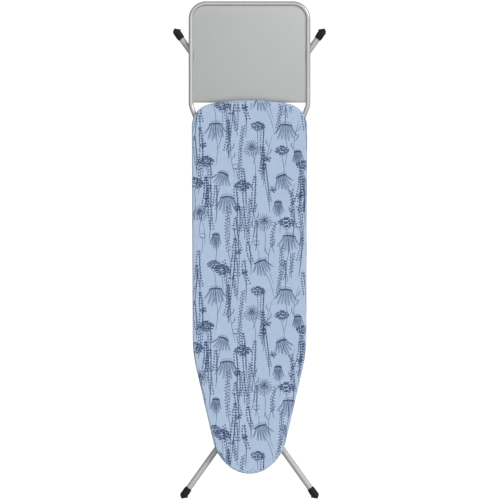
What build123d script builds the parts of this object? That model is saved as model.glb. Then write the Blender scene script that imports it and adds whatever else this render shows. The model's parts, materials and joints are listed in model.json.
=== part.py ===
"""Folding ironing board with a metal iron tray, made as separate pieces, folded flat.

Frame: millimetres, +Z up, +Y from the nose to the tray, +X to the user's right.
The origin is under the middle of the folded board, on the surface that it lies on.
The front legs hinge under the rear of the board, and the rear legs cross them at a pivot
and slide along two guide rails under the board.
"""

import os
from math import asin, atan2, cos, degrees, hypot, radians, sin, tan

from build123d import *

os.makedirs("parts", exist_ok=True)

# ---- overall sizes ---------------------------------------------------------------------
OVERALL_LENGTH = 1654.0
BOARD_LENGTH = 1240.0
BOARD_REAR_Y = 497.4
REAR_HALF_WIDTH = 191.6
WAIST_HALF_WIDTH = 188.5
TAPER_ANGLE = 13.0
WAIST_RADIUS = 480.0
REAR_CROWN_RADIUS = 715.0
REAR_CORNER_RADIUS = 76.0
NOSE_TIP_RADIUS = 106.0
NOSE_SHOULDER_RADIUS = 152.0
NOSE_TIP_ANGLE = 36.0

# ---- heights of the folded stack -------------------------------------------------------
LEG_Z = 12.5
SLIDE_Z = 30.0  # hinge axle and sliding crossbar
TRAY_TUBE_Z = 33.0
CROSSBAR_BASE_Z = 41.0
HEM_BASE_Z = 42.0
RIM_Z = 52.0
MESH_BASE_Z = 60.0
TOP_Z = 70.0

# ---- board -----------------------------------------------------------------------------
CLOTH = 1.0
RIM_DIAMETER = 16.0
RIM_INSET = 13.6
TUBE_WALL = 1.2
MESH_THICKNESS = 1.2
MESH_INSET = 6.0
VENT_DIAMETER = 15.0
VENT_PITCH = 32.0
PAD_INSET = 1.3
PAD_ROUND = 5.0
COVER_ROUND = 6.0
HEM_WIDTH = 20.0
DRAWCORD_DIAMETER = 2.4
DRAWCORD_INSET = 19.2
CROSSBAR_SIZE = 19.0
CROSSBAR_CORNER = 3.0
NOSE_BAR_Y = -560.0
FRONT_BAR_Y = -150.0
MIDDLE_BAR_Y = 130.0
HINGE_Y = 405.0

# ---- tray ------------------------------------------------------------------------------
TRAY_TUBE_DIAMETER = 16.0
TRAY_HALF_WIDTH = 194.5
TRAY_CORNER_RADIUS = 50.0
TRAY_BEND_Y = 482.0
TRAY_BEND_ANGLE = 20.0
TRAY_BEND_RADIUS = 45.0
TRAY_LEG_X = 150.0
SHEET_HALF_WIDTH = 186.2
SHEET_FRONT_Y = 498.4
SHEET_REAR_Y = 810.7
SHEET_THICKNESS = 1.4
SHEET_FLANGE = 8.0
LIP_FRONT_Y = 489.7
LIP_DROP = 2.4
FLANGE_GAP = 1.0
FLANGE_SETBACK = 4.0

# ---- legs ------------------------------------------------------------------------------
LEG_DIAMETER = 20.0
ARM = 450.0  # hinge to pivot, and pivot to sliding crossbar
PIVOT_Y = HINGE_Y - ARM
FRONT_X = 46.0
REAR_X = 72.0
SPLAY_ANGLE = 35.6
SPLAY_RADIUS = 70.0
FRONT_CAP_X = 202.0  # where the foot cap begins, on the tube's centre line
REAR_CAP_X = 226.0
FRONT_SOLE_Y = -OVERALL_LENGTH / 2
REAR_SOLE_Y = 737.0
CAP_DIAMETER = 25.0
CAP_COLLAR_LENGTH = 5.0
CAP_COLLAR_STEP = 0.8
CAP_REACH = 35.0  # along Y, from where the cap begins to its sole
CAP_BORE_DEPTH = 22.0
SOLE_INNER = (1.6, 31.0)  # toe corners in plan, from where the cap begins
SOLE_OUTER = (24.0, CAP_REACH)
TOE_TIP = (29.0, 23.0)
TOE_SHOULDER = (16.0, 5.0)
TOE_INNER = (-3.0, 18.5)
TOE_HEEL = (3.4, 26.5)
CAP_BARREL_SHORTFALL = 0.42  # of the cap's diameter, where the barrel ends inside the toe
CAP_BORE_GAP = 0.05
TOE_HALF_HEIGHT = 11.0
STANDING_ANGLE = 44.0
STANDING_BEVEL = 5.0
LEG_END = 20.0  # length of leg tube past its hinge or crossbar
LUG_THICKNESS = 3.0
LUG_LENGTH = 60.0
LUG_RADIUS = 10.4
LUG_SHOULDER = 14.0  # half the length of the lug's raised middle
LUG_EDGE = 3.0
PLUG_LENGTH = 14.0
PLUG_LIP = 2.5
SPACER_DIAMETER = 12.0
FRONT_SPACER_Y = -545.0
REAR_SPACER_Y = 455.0
CATCH_BAR_Y = MIDDLE_BAR_Y - 10.0

# ---- pivots and slides -----------------------------------------------------------------
PIVOT_DIAMETER = 8.0
RUNNING_GAP = 0.1
AXLE_DIAMETER = 10.0
AXLE_HEAD_DIAMETER = 14.0
AXLE_HEAD = 2.4
AXLE_HEAD_ROUND = 1.6
BOLT_HEAD_DIAMETER = 16.0
BOLT_HEAD = 4.5
BOLT_HEAD_ROUND = 2.5
BOLT_TAIL = 9.0
NUT_RADIUS = 7.5
NUT_HEIGHT = 6.5
NUT_GAP = 0.2
NUT_CHAMFER = 0.8
PIVOT_SPACER_DIAMETER = 18.0
SLEEVE_DIAMETER = 14.0
SLEEVE_HALF = 54.0
EAR_X = 55.0
EAR_THICKNESS = 3.0
EAR_RADIUS = 8.0
CROSSBAR_ROD = 12.0
BUSH_DIAMETER = 14.0
BUSH_FLANGE = 21.0
BUSH_FLANGE_THICKNESS = 3.0
BUSH_GAP = 0.3  # between a flange and the rail
RAIL_X = 104.0
RAIL_THICKNESS = 2.0
RAIL_BASE_Z = 16.0
RAIL_TOP_Z = 45.5
RAIL_SLOT_GAP = 0.3
RAIL_FOOT_WIDTH = 14.0
RAIL_CLIP_DEPTH = 8.0  # clipped lower corners
RAIL_CLIP_LENGTH = 12.0
RAIL_NOTCH_RUN = 4.0  # slope beside each crossbar
RAIL_BOSS_TOP = 12.0  # half length of the raised part round the latch shaft
RAIL_BOSS_BASE = 22.0
RAIL_BOSS_HEIGHT = 8.0
ROD_HALF = 113.0

# ---- height latch ----------------------------------------------------------------------
LATCH_Y = -500.0
LATCH_Z = 48.0
SHAFT_DIAMETER = 8.0
NOTCH_COUNT = 7
NOTCH_PITCH = 28.0
LAST_NOTCH_Y = -192.0  # crossbar's place at the highest setting
NOTCH_GAP = 0.4
TOOTH_BELOW_ROD = 1.0
RACK_THICKNESS = 3.0
RACK_ABOVE_NOTCH = 4.6
ROD_CLEARANCE = 0.5
GRIP_LENGTH = 92.0
GRIP_DIAMETER = 18.0
GRIP_ROUND = 4.0
LEVER_BEND_RADII = [13.0, 45.0]
SPRING_DIAMETER = 13.0
SPRING_LENGTH = 16.0
SPRING_GAP = 1.0
HUB_WALL = 5.5

# ---- storage hook ----------------------------------------------------------------------
HOOK_Z = 36.0
HOOK_PIN = 5.0
HOOK_WIDTH = 14.0
HOOK_OPEN_ANGLE = 98.0  # from the catch bar to the hook's arm, when open
HOOK_LIP_SWEEP = 64.0
HOOK_ARM_WIDTH = 6.0
HOOK_ARM_TURN = 5.0
HOOK_BAR_GAP = 0.6
HOOK_EAR_THICKNESS = 2.0
HOOK_EAR_GAP = 0.5
HOOK_PIN_END = 3.5
HOOK_LIP = 2.8
HOOK_HUB_RADIUS = 4.8


def save(part, name):
    """Label a finished piece and write it to its own file."""
    part.label = name
    export_step(part, f"parts/{name}.step")


def outline(inset):
    """Sketch of the board's outline, seen from above, moved inwards by inset."""
    corner = REAR_CORNER_RADIUS
    corner_x = REAR_HALF_WIDTH - corner
    crown_span = REAR_CROWN_RADIUS - corner
    corner_depth = REAR_CROWN_RADIUS - (crown_span**2 - corner_x**2) ** 0.5
    crown_angle = asin(corner_x / crown_span)
    shoulder = radians(90.0 - TAPER_ANGLE)
    tip = radians(NOSE_TIP_ANGLE)
    nose_y = BOARD_REAR_Y - BOARD_LENGTH

    side_start = (REAR_HALF_WIDTH, BOARD_REAR_Y - corner_depth)
    tip_end = (NOSE_TIP_RADIUS * sin(tip), nose_y + NOSE_TIP_RADIUS * (1 - cos(tip)))
    taper_end = (
        tip_end[0] + NOSE_SHOULDER_RADIUS * (sin(shoulder) - sin(tip)),
        tip_end[1] + NOSE_SHOULDER_RADIUS * (cos(tip) - cos(shoulder)),
    )
    waist_x = WAIST_HALF_WIDTH
    waist_y = taper_end[1] + (waist_x - taper_end[0]) / tan(radians(TAPER_ANGLE))

    with BuildSketch() as made:
        with BuildLine():
            CenterArc((0, BOARD_REAR_Y - REAR_CROWN_RADIUS), REAR_CROWN_RADIUS, 90, -degrees(crown_angle))
            corner_start = 90 - degrees(crown_angle)
            CenterArc((corner_x, side_start[1]), corner, corner_start, -corner_start)
            FilletPolyline(side_start, (waist_x, waist_y), taper_end, radius=WAIST_RADIUS)
            JernArc(taper_end, (-sin(radians(TAPER_ANGLE)), -cos(radians(TAPER_ANGLE))),
                    NOSE_SHOULDER_RADIUS, -(90 - TAPER_ANGLE - NOSE_TIP_ANGLE))
            CenterArc((0, nose_y + NOSE_TIP_RADIUS), NOSE_TIP_RADIUS, NOSE_TIP_ANGLE - 90, -NOSE_TIP_ANGLE)
            mirror(about=Plane.YZ)
        make_face()
        if inset > 0:
            offset(amount=-inset, kind=Kind.INTERSECTION, mode=Mode.REPLACE)
    return made.sketch


def loop_tube(inset, z, diameter, wall=0.0):
    """Tube that follows the whole outline, moved inwards by inset, with its centre at z."""
    with BuildSketch() as right_half:
        add(outline(inset))
        split(bisect_by=Plane.YZ, keep=Keep.TOP)
    right_edges = right_half.edges().filter_by(lambda edge: edge.center().X > 1)
    path = Wire(right_edges).moved(Location((0, 0, z)))
    with BuildPart() as made:
        with BuildSketch(Plane(origin=path @ 0, z_dir=path % 0)):
            Circle(diameter / 2)
            if wall:
                Circle(diameter / 2 - wall, mode=Mode.SUBTRACT)
        sweep(path=path)
        mirror(about=Plane.YZ)
    return made


def tube(points, radii, diameter, wall=TUBE_WALL):
    """Bent tube along points, with one bend radius for each inner point."""
    with BuildPart() as made:
        with BuildLine() as path:
            if len(points) == 2:
                Line(*points)
            else:
                FilletPolyline(*points, radius=radii)
        with BuildSketch(Plane(origin=points[0], z_dir=path.line % 0)):
            Circle(diameter / 2)
            if wall:
                Circle(diameter / 2 - wall, mode=Mode.SUBTRACT)
        sweep(path=path.line)
    return made


def rod_x(start_x, end_x, y, z, diameter, bore=0.0):
    """Round bar or sleeve along X."""
    with BuildPart() as made:
        with BuildSketch(Plane(origin=(start_x, y, z), z_dir=(1, 0, 0))):
            Circle(diameter / 2)
            if bore:
                Circle(bore / 2, mode=Mode.SUBTRACT)
        extrude(amount=end_x - start_x)
    return made


# ======================================= board ==========================================
save(loop_tube(RIM_INSET, RIM_Z, RIM_DIAMETER, TUBE_WALL).part, "rim_tube")

vent_zone = outline(MESH_INSET + VENT_DIAMETER).face()
vent_rows = int(BOARD_LENGTH / VENT_PITCH)
vent_columns = int(REAR_HALF_WIDTH / VENT_PITCH)
vents = []
for row in range(vent_rows):
    shift = VENT_PITCH / 2 if row % 2 else 0
    for column in range(-vent_columns - 1, vent_columns + 1):
        place = Vector(column * VENT_PITCH + shift, BOARD_REAR_Y - (row + 1) * VENT_PITCH, 0)
        if vent_zone.is_inside(place):
            vents.append(place)

with BuildPart() as mesh_top:
    with BuildSketch(Plane.XY.offset(MESH_BASE_Z)):
        add(outline(MESH_INSET))
        with Locations(*vents):
            Circle(VENT_DIAMETER / 2, mode=Mode.SUBTRACT)
    extrude(amount=MESH_THICKNESS)
save(mesh_top.part, "mesh_top")

with BuildPart() as felt_pad:
    with BuildSketch(Plane.XY.offset(MESH_BASE_Z + MESH_THICKNESS)):
        add(outline(PAD_INSET))
    extrude(amount=TOP_Z - CLOTH - MESH_BASE_Z - MESH_THICKNESS)
    fillet(felt_pad.edges().group_by(Axis.Z)[-1], PAD_ROUND)
save(felt_pad.part, "felt_pad")

with BuildPart() as cover_inside:
    with BuildSketch(Plane.XY.offset(HEM_BASE_Z + CLOTH)):
        add(outline(CLOTH))
    extrude(amount=TOP_Z - HEM_BASE_Z - 2 * CLOTH)
    fillet(cover_inside.edges().group_by(Axis.Z)[-1], COVER_ROUND - CLOTH)

with BuildPart() as cotton_cover:
    with BuildSketch(Plane.XY.offset(HEM_BASE_Z)):
        add(outline(0))
    extrude(amount=TOP_Z - HEM_BASE_Z)
    fillet(cotton_cover.edges().group_by(Axis.Z)[-1], COVER_ROUND)
    with BuildSketch(Plane.XY.offset(HEM_BASE_Z)):
        add(outline(HEM_WIDTH))
    extrude(amount=CLOTH, mode=Mode.SUBTRACT)
    add(cover_inside.part, mode=Mode.SUBTRACT)
save(cotton_cover.part, "cotton_cover")

drawcord_z = HEM_BASE_Z + CLOTH + DRAWCORD_DIAMETER / 2 + 0.1
save(loop_tube(DRAWCORD_INSET, drawcord_z, DRAWCORD_DIAMETER).part, "hem_drawcord")


def inner_half_width(y):
    """Half the space between the rim's inner sides at y."""
    inner = outline(RIM_INSET + RIM_DIAMETER / 2).face()
    chord = Edge.make_line((0, y, 0), (2 * REAR_HALF_WIDTH, y, 0)) & inner
    return chord.bounding_box().max.X


# Square tubes across the rim that carry the rails, the hinge, the hook and the tray.
for name, y in (
    ("crossbar_nose", NOSE_BAR_Y),
    ("crossbar_front", FRONT_BAR_Y),
    ("crossbar_middle", MIDDLE_BAR_Y),
    ("crossbar_rear", HINGE_Y),
):
    half = min(inner_half_width(y - CROSSBAR_SIZE / 2), inner_half_width(y + CROSSBAR_SIZE / 2))
    with BuildPart() as crossbar:
        with BuildSketch(Plane(origin=(-half, y, CROSSBAR_BASE_Z + CROSSBAR_SIZE / 2), z_dir=(1, 0, 0))):
            RectangleRounded(CROSSBAR_SIZE, CROSSBAR_SIZE, CROSSBAR_CORNER)
            offset(amount=-TUBE_WALL, mode=Mode.SUBTRACT)
        extrude(amount=2 * half)
    save(crossbar.part, name)

# Plates under the board, whose long slots guide the ends of the sliding crossbar.
rail_slot_height = BUSH_DIAMETER + 2 * RAIL_SLOT_GAP
rail_start = NOSE_BAR_Y - CROSSBAR_SIZE / 2
rail_end = FRONT_BAR_Y + CROSSBAR_SIZE / 2
folded_rod_y = PIVOT_Y - ARM
slot_start = folded_rod_y - rail_slot_height / 2
slot_end = LAST_NOTCH_Y + rail_slot_height / 2
for side, name in ((-1, "guide_rail_left"), (1, "guide_rail_right")):
    with BuildPart() as rail:
        with BuildSketch(Plane(origin=(side * RAIL_X, 0, 0), x_dir=(0, 1, 0), z_dir=(1, 0, 0))):
            with BuildLine():
                Polyline(
                    (rail_start, RAIL_BASE_Z + RAIL_CLIP_DEPTH),
                    (rail_start + RAIL_CLIP_LENGTH, RAIL_BASE_Z),
                    (rail_end - RAIL_CLIP_LENGTH, RAIL_BASE_Z),
                    (rail_end, RAIL_BASE_Z + RAIL_CLIP_DEPTH),
                    (rail_end, CROSSBAR_BASE_Z),
                    (rail_end - CROSSBAR_SIZE - 1, CROSSBAR_BASE_Z),
                    (rail_end - CROSSBAR_SIZE - 1 - RAIL_NOTCH_RUN, RAIL_TOP_Z),
                    (LATCH_Y + RAIL_BOSS_BASE, RAIL_TOP_Z),
                    (LATCH_Y + RAIL_BOSS_TOP, LATCH_Z + RAIL_BOSS_HEIGHT),
                    (LATCH_Y - RAIL_BOSS_TOP, LATCH_Z + RAIL_BOSS_HEIGHT),
                    (LATCH_Y - RAIL_BOSS_BASE, RAIL_TOP_Z),
                    (rail_start + CROSSBAR_SIZE + 1 + RAIL_NOTCH_RUN, RAIL_TOP_Z),
                    (rail_start + CROSSBAR_SIZE + 1, CROSSBAR_BASE_Z),
                    (rail_start, CROSSBAR_BASE_Z),
                    close=True,
                )
            make_face()
            with Locations(((slot_start + slot_end) / 2, SLIDE_Z)):
                SlotOverall(slot_end - slot_start, rail_slot_height, mode=Mode.SUBTRACT)
            with Locations((LATCH_Y, LATCH_Z)):
                Circle(SHAFT_DIAMETER / 2 + RUNNING_GAP, mode=Mode.SUBTRACT)
        extrude(amount=RAIL_THICKNESS / 2, both=True)
        foot_x = side * (RAIL_X - RAIL_THICKNESS / 2 - RAIL_FOOT_WIDTH / 2)
        with Locations(
            (foot_x, NOSE_BAR_Y, CROSSBAR_BASE_Z - RAIL_THICKNESS / 2),
            (foot_x, FRONT_BAR_Y, CROSSBAR_BASE_Z - RAIL_THICKNESS / 2),
        ):
            Box(RAIL_FOOT_WIDTH, CROSSBAR_SIZE, RAIL_THICKNESS)
    save(rail.part, name)


def ear(x, thickness, y, z, radius, bore):
    """Plate hanging from a crossbar, rounded about a bore along X."""
    with BuildPart() as made:
        with BuildSketch(Plane(origin=(x, y, z), x_dir=(0, 1, 0), z_dir=(1, 0, 0))):
            Circle(radius)
            with Locations((0, (CROSSBAR_BASE_Z - z) / 2)):
                Rectangle(2 * radius, CROSSBAR_BASE_Z - z)
            Circle(bore / 2, mode=Mode.SUBTRACT)
        extrude(amount=thickness)
    return made


# Pressed ears under the rear crossbar that hold the hinge axle.
for side, name in ((-1, "hinge_bracket_left"), (1, "hinge_bracket_right")):
    start = EAR_X if side > 0 else -EAR_X - EAR_THICKNESS
    save(ear(start, EAR_THICKNESS, HINGE_Y, SLIDE_Z, EAR_RADIUS, AXLE_DIAMETER).part, name)

with BuildPart() as hinge_axle:
    with BuildSketch(Plane(origin=(-EAR_X - EAR_THICKNESS, HINGE_Y, SLIDE_Z), z_dir=(1, 0, 0))):
        Circle(AXLE_DIAMETER / 2)
    extrude(amount=2 * (EAR_X + EAR_THICKNESS))
    for side in (-1, 1):
        head = Plane(origin=(side * (EAR_X + EAR_THICKNESS), HINGE_Y, SLIDE_Z), z_dir=(side, 0, 0))
        with BuildSketch(head):
            Circle(AXLE_HEAD_DIAMETER / 2)
        extrude(amount=AXLE_HEAD)
    fillet(hinge_axle.edges().sort_by(Axis.X)[0], AXLE_HEAD_ROUND)
    fillet(hinge_axle.edges().sort_by(Axis.X)[-1], AXLE_HEAD_ROUND)
save(hinge_axle.part, "hinge_axle")

# ========================================= tray =========================================
tray_top_y = OVERALL_LENGTH / 2 - TRAY_TUBE_DIAMETER / 2
bend_dx = TRAY_HALF_WIDTH - TRAY_LEG_X
leg_bend_y = TRAY_BEND_Y - bend_dx / tan(radians(TRAY_BEND_ANGLE))
tray_end_y = MIDDLE_BAR_Y - CROSSBAR_SIZE / 2
tray_half = [
    (TRAY_LEG_X, tray_end_y, TRAY_TUBE_Z),
    (TRAY_LEG_X, leg_bend_y, TRAY_TUBE_Z),
    (TRAY_HALF_WIDTH, TRAY_BEND_Y, TRAY_TUBE_Z),
    (TRAY_HALF_WIDTH, tray_top_y, TRAY_TUBE_Z),
]
tray_points = tray_half + [(-x, y, z) for x, y, z in reversed(tray_half)]
tray_radii = [TRAY_BEND_RADIUS, TRAY_BEND_RADIUS, TRAY_CORNER_RADIUS]
save(tube(tray_points, tray_radii + tray_radii[::-1], TRAY_TUBE_DIAMETER).part, "tray_tube")

sheet_top_z = TRAY_TUBE_Z + SHEET_THICKNESS
with BuildPart() as tray_sheet:
    with BuildSketch(Plane.XY.offset(sheet_top_z - SHEET_THICKNESS)):
        with Locations((0, (SHEET_FRONT_Y + SHEET_REAR_Y) / 2)):
            Rectangle(2 * SHEET_HALF_WIDTH, SHEET_REAR_Y - SHEET_FRONT_Y)
        fillet(vertices().group_by(Axis.Y)[-1], TRAY_CORNER_RADIUS - TRAY_HALF_WIDTH + SHEET_HALF_WIDTH)
    extrude(amount=SHEET_THICKNESS)
    # Turned-down flange, clear of the tube on three sides, open at its two front corners.
    flange_x = TRAY_HALF_WIDTH - TRAY_TUBE_DIAMETER / 2 - FLANGE_GAP
    flange_top = sheet_top_z - SHEET_THICKNESS
    with BuildSketch(Plane.XY.offset(flange_top)):
        with Locations((0, (SHEET_FRONT_Y + SHEET_REAR_Y) / 2 - FLANGE_SETBACK / 2)):
            Rectangle(2 * flange_x, SHEET_REAR_Y - SHEET_FRONT_Y - FLANGE_SETBACK)
        fillet(vertices().group_by(Axis.Y)[-1], TRAY_CORNER_RADIUS - TRAY_TUBE_DIAMETER / 2)
        offset(amount=-SHEET_THICKNESS, kind=Kind.INTERSECTION, mode=Mode.SUBTRACT)
    extrude(amount=-SHEET_FLANGE)
    # Front lip, bent down under the board's rear edge.
    with BuildSketch(Plane(origin=(0, SHEET_FRONT_Y, sheet_top_z), x_dir=(0, 1, 0), z_dir=(1, 0, 0))):
        lip = LIP_FRONT_Y - SHEET_FRONT_Y
        with BuildLine():
            Polyline(
                (0, 0),
                (lip, -LIP_DROP),
                (lip, -LIP_DROP - SHEET_THICKNESS),
                (0, -SHEET_THICKNESS),
                close=True,
            )
        make_face()
    extrude(amount=SHEET_HALF_WIDTH, both=True)
save(tray_sheet.part, "tray_sheet")

# ===================================== leg frames =======================================
def splayed_leg(side, x, top_y, cap_x, cap_y):
    """Points of a leg's centre line, from its upper end to where the foot cap begins."""
    direction = 1 if cap_y > 0 else -1
    bend_y = cap_y - direction * (cap_x - x) / tan(radians(SPLAY_ANGLE))
    return [(side * x, top_y, LEG_Z), (side * x, bend_y, LEG_Z), (side * cap_x, cap_y, LEG_Z)]


def leg_tube(points):
    """Leg tube that runs into its foot cap, with the pivot hole through its straight part."""
    along = (Vector(*points[2]) - Vector(*points[1])).normalized()
    inside_cap = Vector(*points[2]) + along * (CAP_BORE_DEPTH - 1)
    made = tube([points[0], points[1], inside_cap], SPLAY_RADIUS, LEG_DIAMETER)
    with BuildPart() as leg:
        add(made.part)
        with BuildSketch(Plane(origin=(points[0][0] - LEG_DIAMETER, PIVOT_Y, LEG_Z), z_dir=(1, 0, 0))):
            Circle(PIVOT_DIAMETER / 2 + RUNNING_GAP)
        extrude(amount=2 * LEG_DIAMETER, mode=Mode.SUBTRACT)
    return leg


def foot_cap(points):
    """Moulded cap on a leg's end, with a toe whose sole is square to the board's length."""
    base = Vector(*points[2])
    along = (base - Vector(*points[1])).normalized()
    side = 1 if base.X > 0 else -1
    direction = 1 if base.Y > 0 else -1
    barrel = CAP_REACH / abs(along.Y) - CAP_DIAMETER * CAP_BARREL_SHORTFALL

    def toe_point(offset_x, offset_y):
        return (base.X + side * offset_x, base.Y + direction * offset_y)

    with BuildPart() as cap:
        with BuildSketch(Plane(origin=base, z_dir=along)):
            Circle(CAP_DIAMETER / 2 - CAP_COLLAR_STEP)
        extrude(amount=CAP_COLLAR_LENGTH)
        with BuildSketch(Plane(origin=base + along * CAP_COLLAR_LENGTH, z_dir=along)):
            Circle(CAP_DIAMETER / 2)
        extrude(amount=barrel - CAP_COLLAR_LENGTH)
        with BuildSketch(Plane.XY.offset(LEG_Z - TOE_HALF_HEIGHT)):
            with BuildLine():
                Polyline(
                    toe_point(*SOLE_INNER),
                    toe_point(*SOLE_OUTER),
                    toe_point(*TOE_TIP),
                    toe_point(*TOE_SHOULDER),
                    toe_point(*TOE_INNER),
                    toe_point(*TOE_HEEL),
                    close=True,
                )
            make_face()
        extrude(amount=2 * TOE_HALF_HEIGHT)
        with BuildSketch(Plane(origin=base, z_dir=along)):
            Circle(LEG_DIAMETER / 2 + CAP_BORE_GAP)
        extrude(amount=CAP_BORE_DEPTH, mode=Mode.SUBTRACT)
        # The edge that meets the floor when the board stands is bevelled to lie flat on it.
        down = Vector(0, direction * sin(radians(STANDING_ANGLE)), -cos(radians(STANDING_ANGLE)))
        edge = Vector(base.X, base.Y + direction * CAP_REACH, LEG_Z - TOE_HALF_HEIGHT)
        with BuildSketch(Plane(origin=edge - down * STANDING_BEVEL, z_dir=down)):
            Rectangle(6 * CAP_DIAMETER, 6 * CAP_DIAMETER)
        extrude(amount=2 * STANDING_BEVEL, mode=Mode.SUBTRACT)
    return cap


def lug(x, y, bore):
    """Plate welded along the top of a leg tube, with a bore raised to the slide height."""
    base_z = LEG_Z + LEG_DIAMETER / 2
    with BuildPart() as made:
        with BuildSketch(Plane(origin=(x, y, SLIDE_Z), x_dir=(0, 1, 0), z_dir=(1, 0, 0))):
            with BuildLine():
                low = base_z - SLIDE_Z
                edge = low + LUG_EDGE
                hub = (LUG_RADIUS * 0.8, LUG_RADIUS * 0.6)
                half = LUG_LENGTH / 2
                Polyline((-half, low), (half, low), (half, edge), (LUG_SHOULDER, edge), hub)
                RadiusArc(hub, (-hub[0], hub[1]), -LUG_RADIUS)
                Polyline((-hub[0], hub[1]), (-LUG_SHOULDER, edge), (-half, edge), (-half, low))
            make_face()
            Circle(bore / 2, mode=Mode.SUBTRACT)
        extrude(amount=LUG_THICKNESS / 2, both=True)
    return made.part


def end_plug(x, y, direction):
    """Domed plug in the upper end of a leg tube."""
    bore = LEG_DIAMETER / 2 - TUBE_WALL
    with BuildPart() as made:
        with BuildSketch(Plane(origin=(x, y, LEG_Z), z_dir=(0, direction, 0))):
            Circle(LEG_DIAMETER / 2)
        extrude(amount=PLUG_LIP)
        fillet(made.edges().group_by(Axis.Y)[-1 if direction > 0 else 0], PLUG_LIP * 0.7)
        with BuildSketch(Plane(origin=(x, y, LEG_Z), z_dir=(0, -direction, 0))):
            Circle(bore)
        extrude(amount=PLUG_LENGTH)
    return made.part


def save_group(parts, name):
    """Write several like solids as one node."""
    save(Compound(children=parts), name)


# ---- front leg frame, hinged under the rear of the board --------------------------------
front_top_y = HINGE_Y + LEG_END
front_legs = {
    side: splayed_leg(side, FRONT_X, front_top_y, FRONT_CAP_X, FRONT_SOLE_Y + CAP_REACH) for side in (-1, 1)
}
for side, name in ((-1, "left"), (1, "right")):
    save(leg_tube(front_legs[side]).part, f"front_leg_{name}")
    save(foot_cap(front_legs[side]).part, f"front_foot_{name}")
save_group([lug(side * FRONT_X, HINGE_Y, SLEEVE_DIAMETER) for side in (-1, 1)], "front_leg_lugs")
save_group([end_plug(side * FRONT_X, front_top_y, 1) for side in (-1, 1)], "front_leg_plugs")
sleeve_bore = AXLE_DIAMETER + 2 * RUNNING_GAP
sleeve = rod_x(-SLEEVE_HALF, SLEEVE_HALF, HINGE_Y, SLIDE_Z, SLEEVE_DIAMETER, sleeve_bore)
save(sleeve.part, "front_hinge_sleeve")
front_gap = FRONT_X - LEG_DIAMETER / 2
save(rod_x(-front_gap, front_gap, FRONT_SPACER_Y, LEG_Z, SPACER_DIAMETER).part, "front_leg_spacer")
save(rod_x(-front_gap, front_gap, CATCH_BAR_Y, LEG_Z, SPACER_DIAMETER).part, "front_leg_catch_bar")

# ---- rear leg frame, pivoted on the front one and sliding in the rails ------------------
rear_top_y = folded_rod_y - LEG_END
rear_legs = {
    side: splayed_leg(side, REAR_X, rear_top_y, REAR_CAP_X, REAR_SOLE_Y - CAP_REACH) for side in (-1, 1)
}
for side, name in ((-1, "left"), (1, "right")):
    save(leg_tube(rear_legs[side]).part, f"rear_leg_{name}")
    save(foot_cap(rear_legs[side]).part, f"rear_foot_{name}")
save_group([lug(side * REAR_X, folded_rod_y, CROSSBAR_ROD) for side in (-1, 1)], "rear_leg_lugs")
save_group([end_plug(side * REAR_X, rear_top_y, -1) for side in (-1, 1)], "rear_leg_plugs")
save(rod_x(-ROD_HALF, ROD_HALF, folded_rod_y, SLIDE_Z, CROSSBAR_ROD).part, "sliding_crossbar")
rear_gap = REAR_X - LEG_DIAMETER / 2
save(rod_x(-rear_gap, rear_gap, REAR_SPACER_Y, LEG_Z, SPACER_DIAMETER).part, "rear_leg_spacer")

# Flanged nylon bushes on the ends of the sliding crossbar, running in the rail slots.
bushes = []
for side in (-1, 1):
    inner_face = side * (RAIL_X - RAIL_THICKNESS / 2 - BUSH_GAP)
    outer_face = side * (RAIL_X + RAIL_THICKNESS / 2 + BUSH_GAP)
    with BuildPart() as bush:
        with BuildSketch(Plane(origin=(inner_face, folded_rod_y, SLIDE_Z), z_dir=(side, 0, 0))):
            Circle(BUSH_DIAMETER / 2)
        extrude(amount=abs(outer_face - inner_face))
        for face_x, outwards in ((inner_face, -side), (outer_face, side)):
            with BuildSketch(Plane(origin=(face_x, folded_rod_y, SLIDE_Z), z_dir=(outwards, 0, 0))):
                Circle(BUSH_FLANGE / 2)
            extrude(amount=BUSH_FLANGE_THICKNESS)
        with BuildSketch(Plane(origin=(0, folded_rod_y, SLIDE_Z), z_dir=(side, 0, 0))):
            Circle(CROSSBAR_ROD / 2)
        extrude(amount=2 * RAIL_X, mode=Mode.SUBTRACT)
    bushes.append(bush.part)
save_group(bushes, "glide_bushes")

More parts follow.
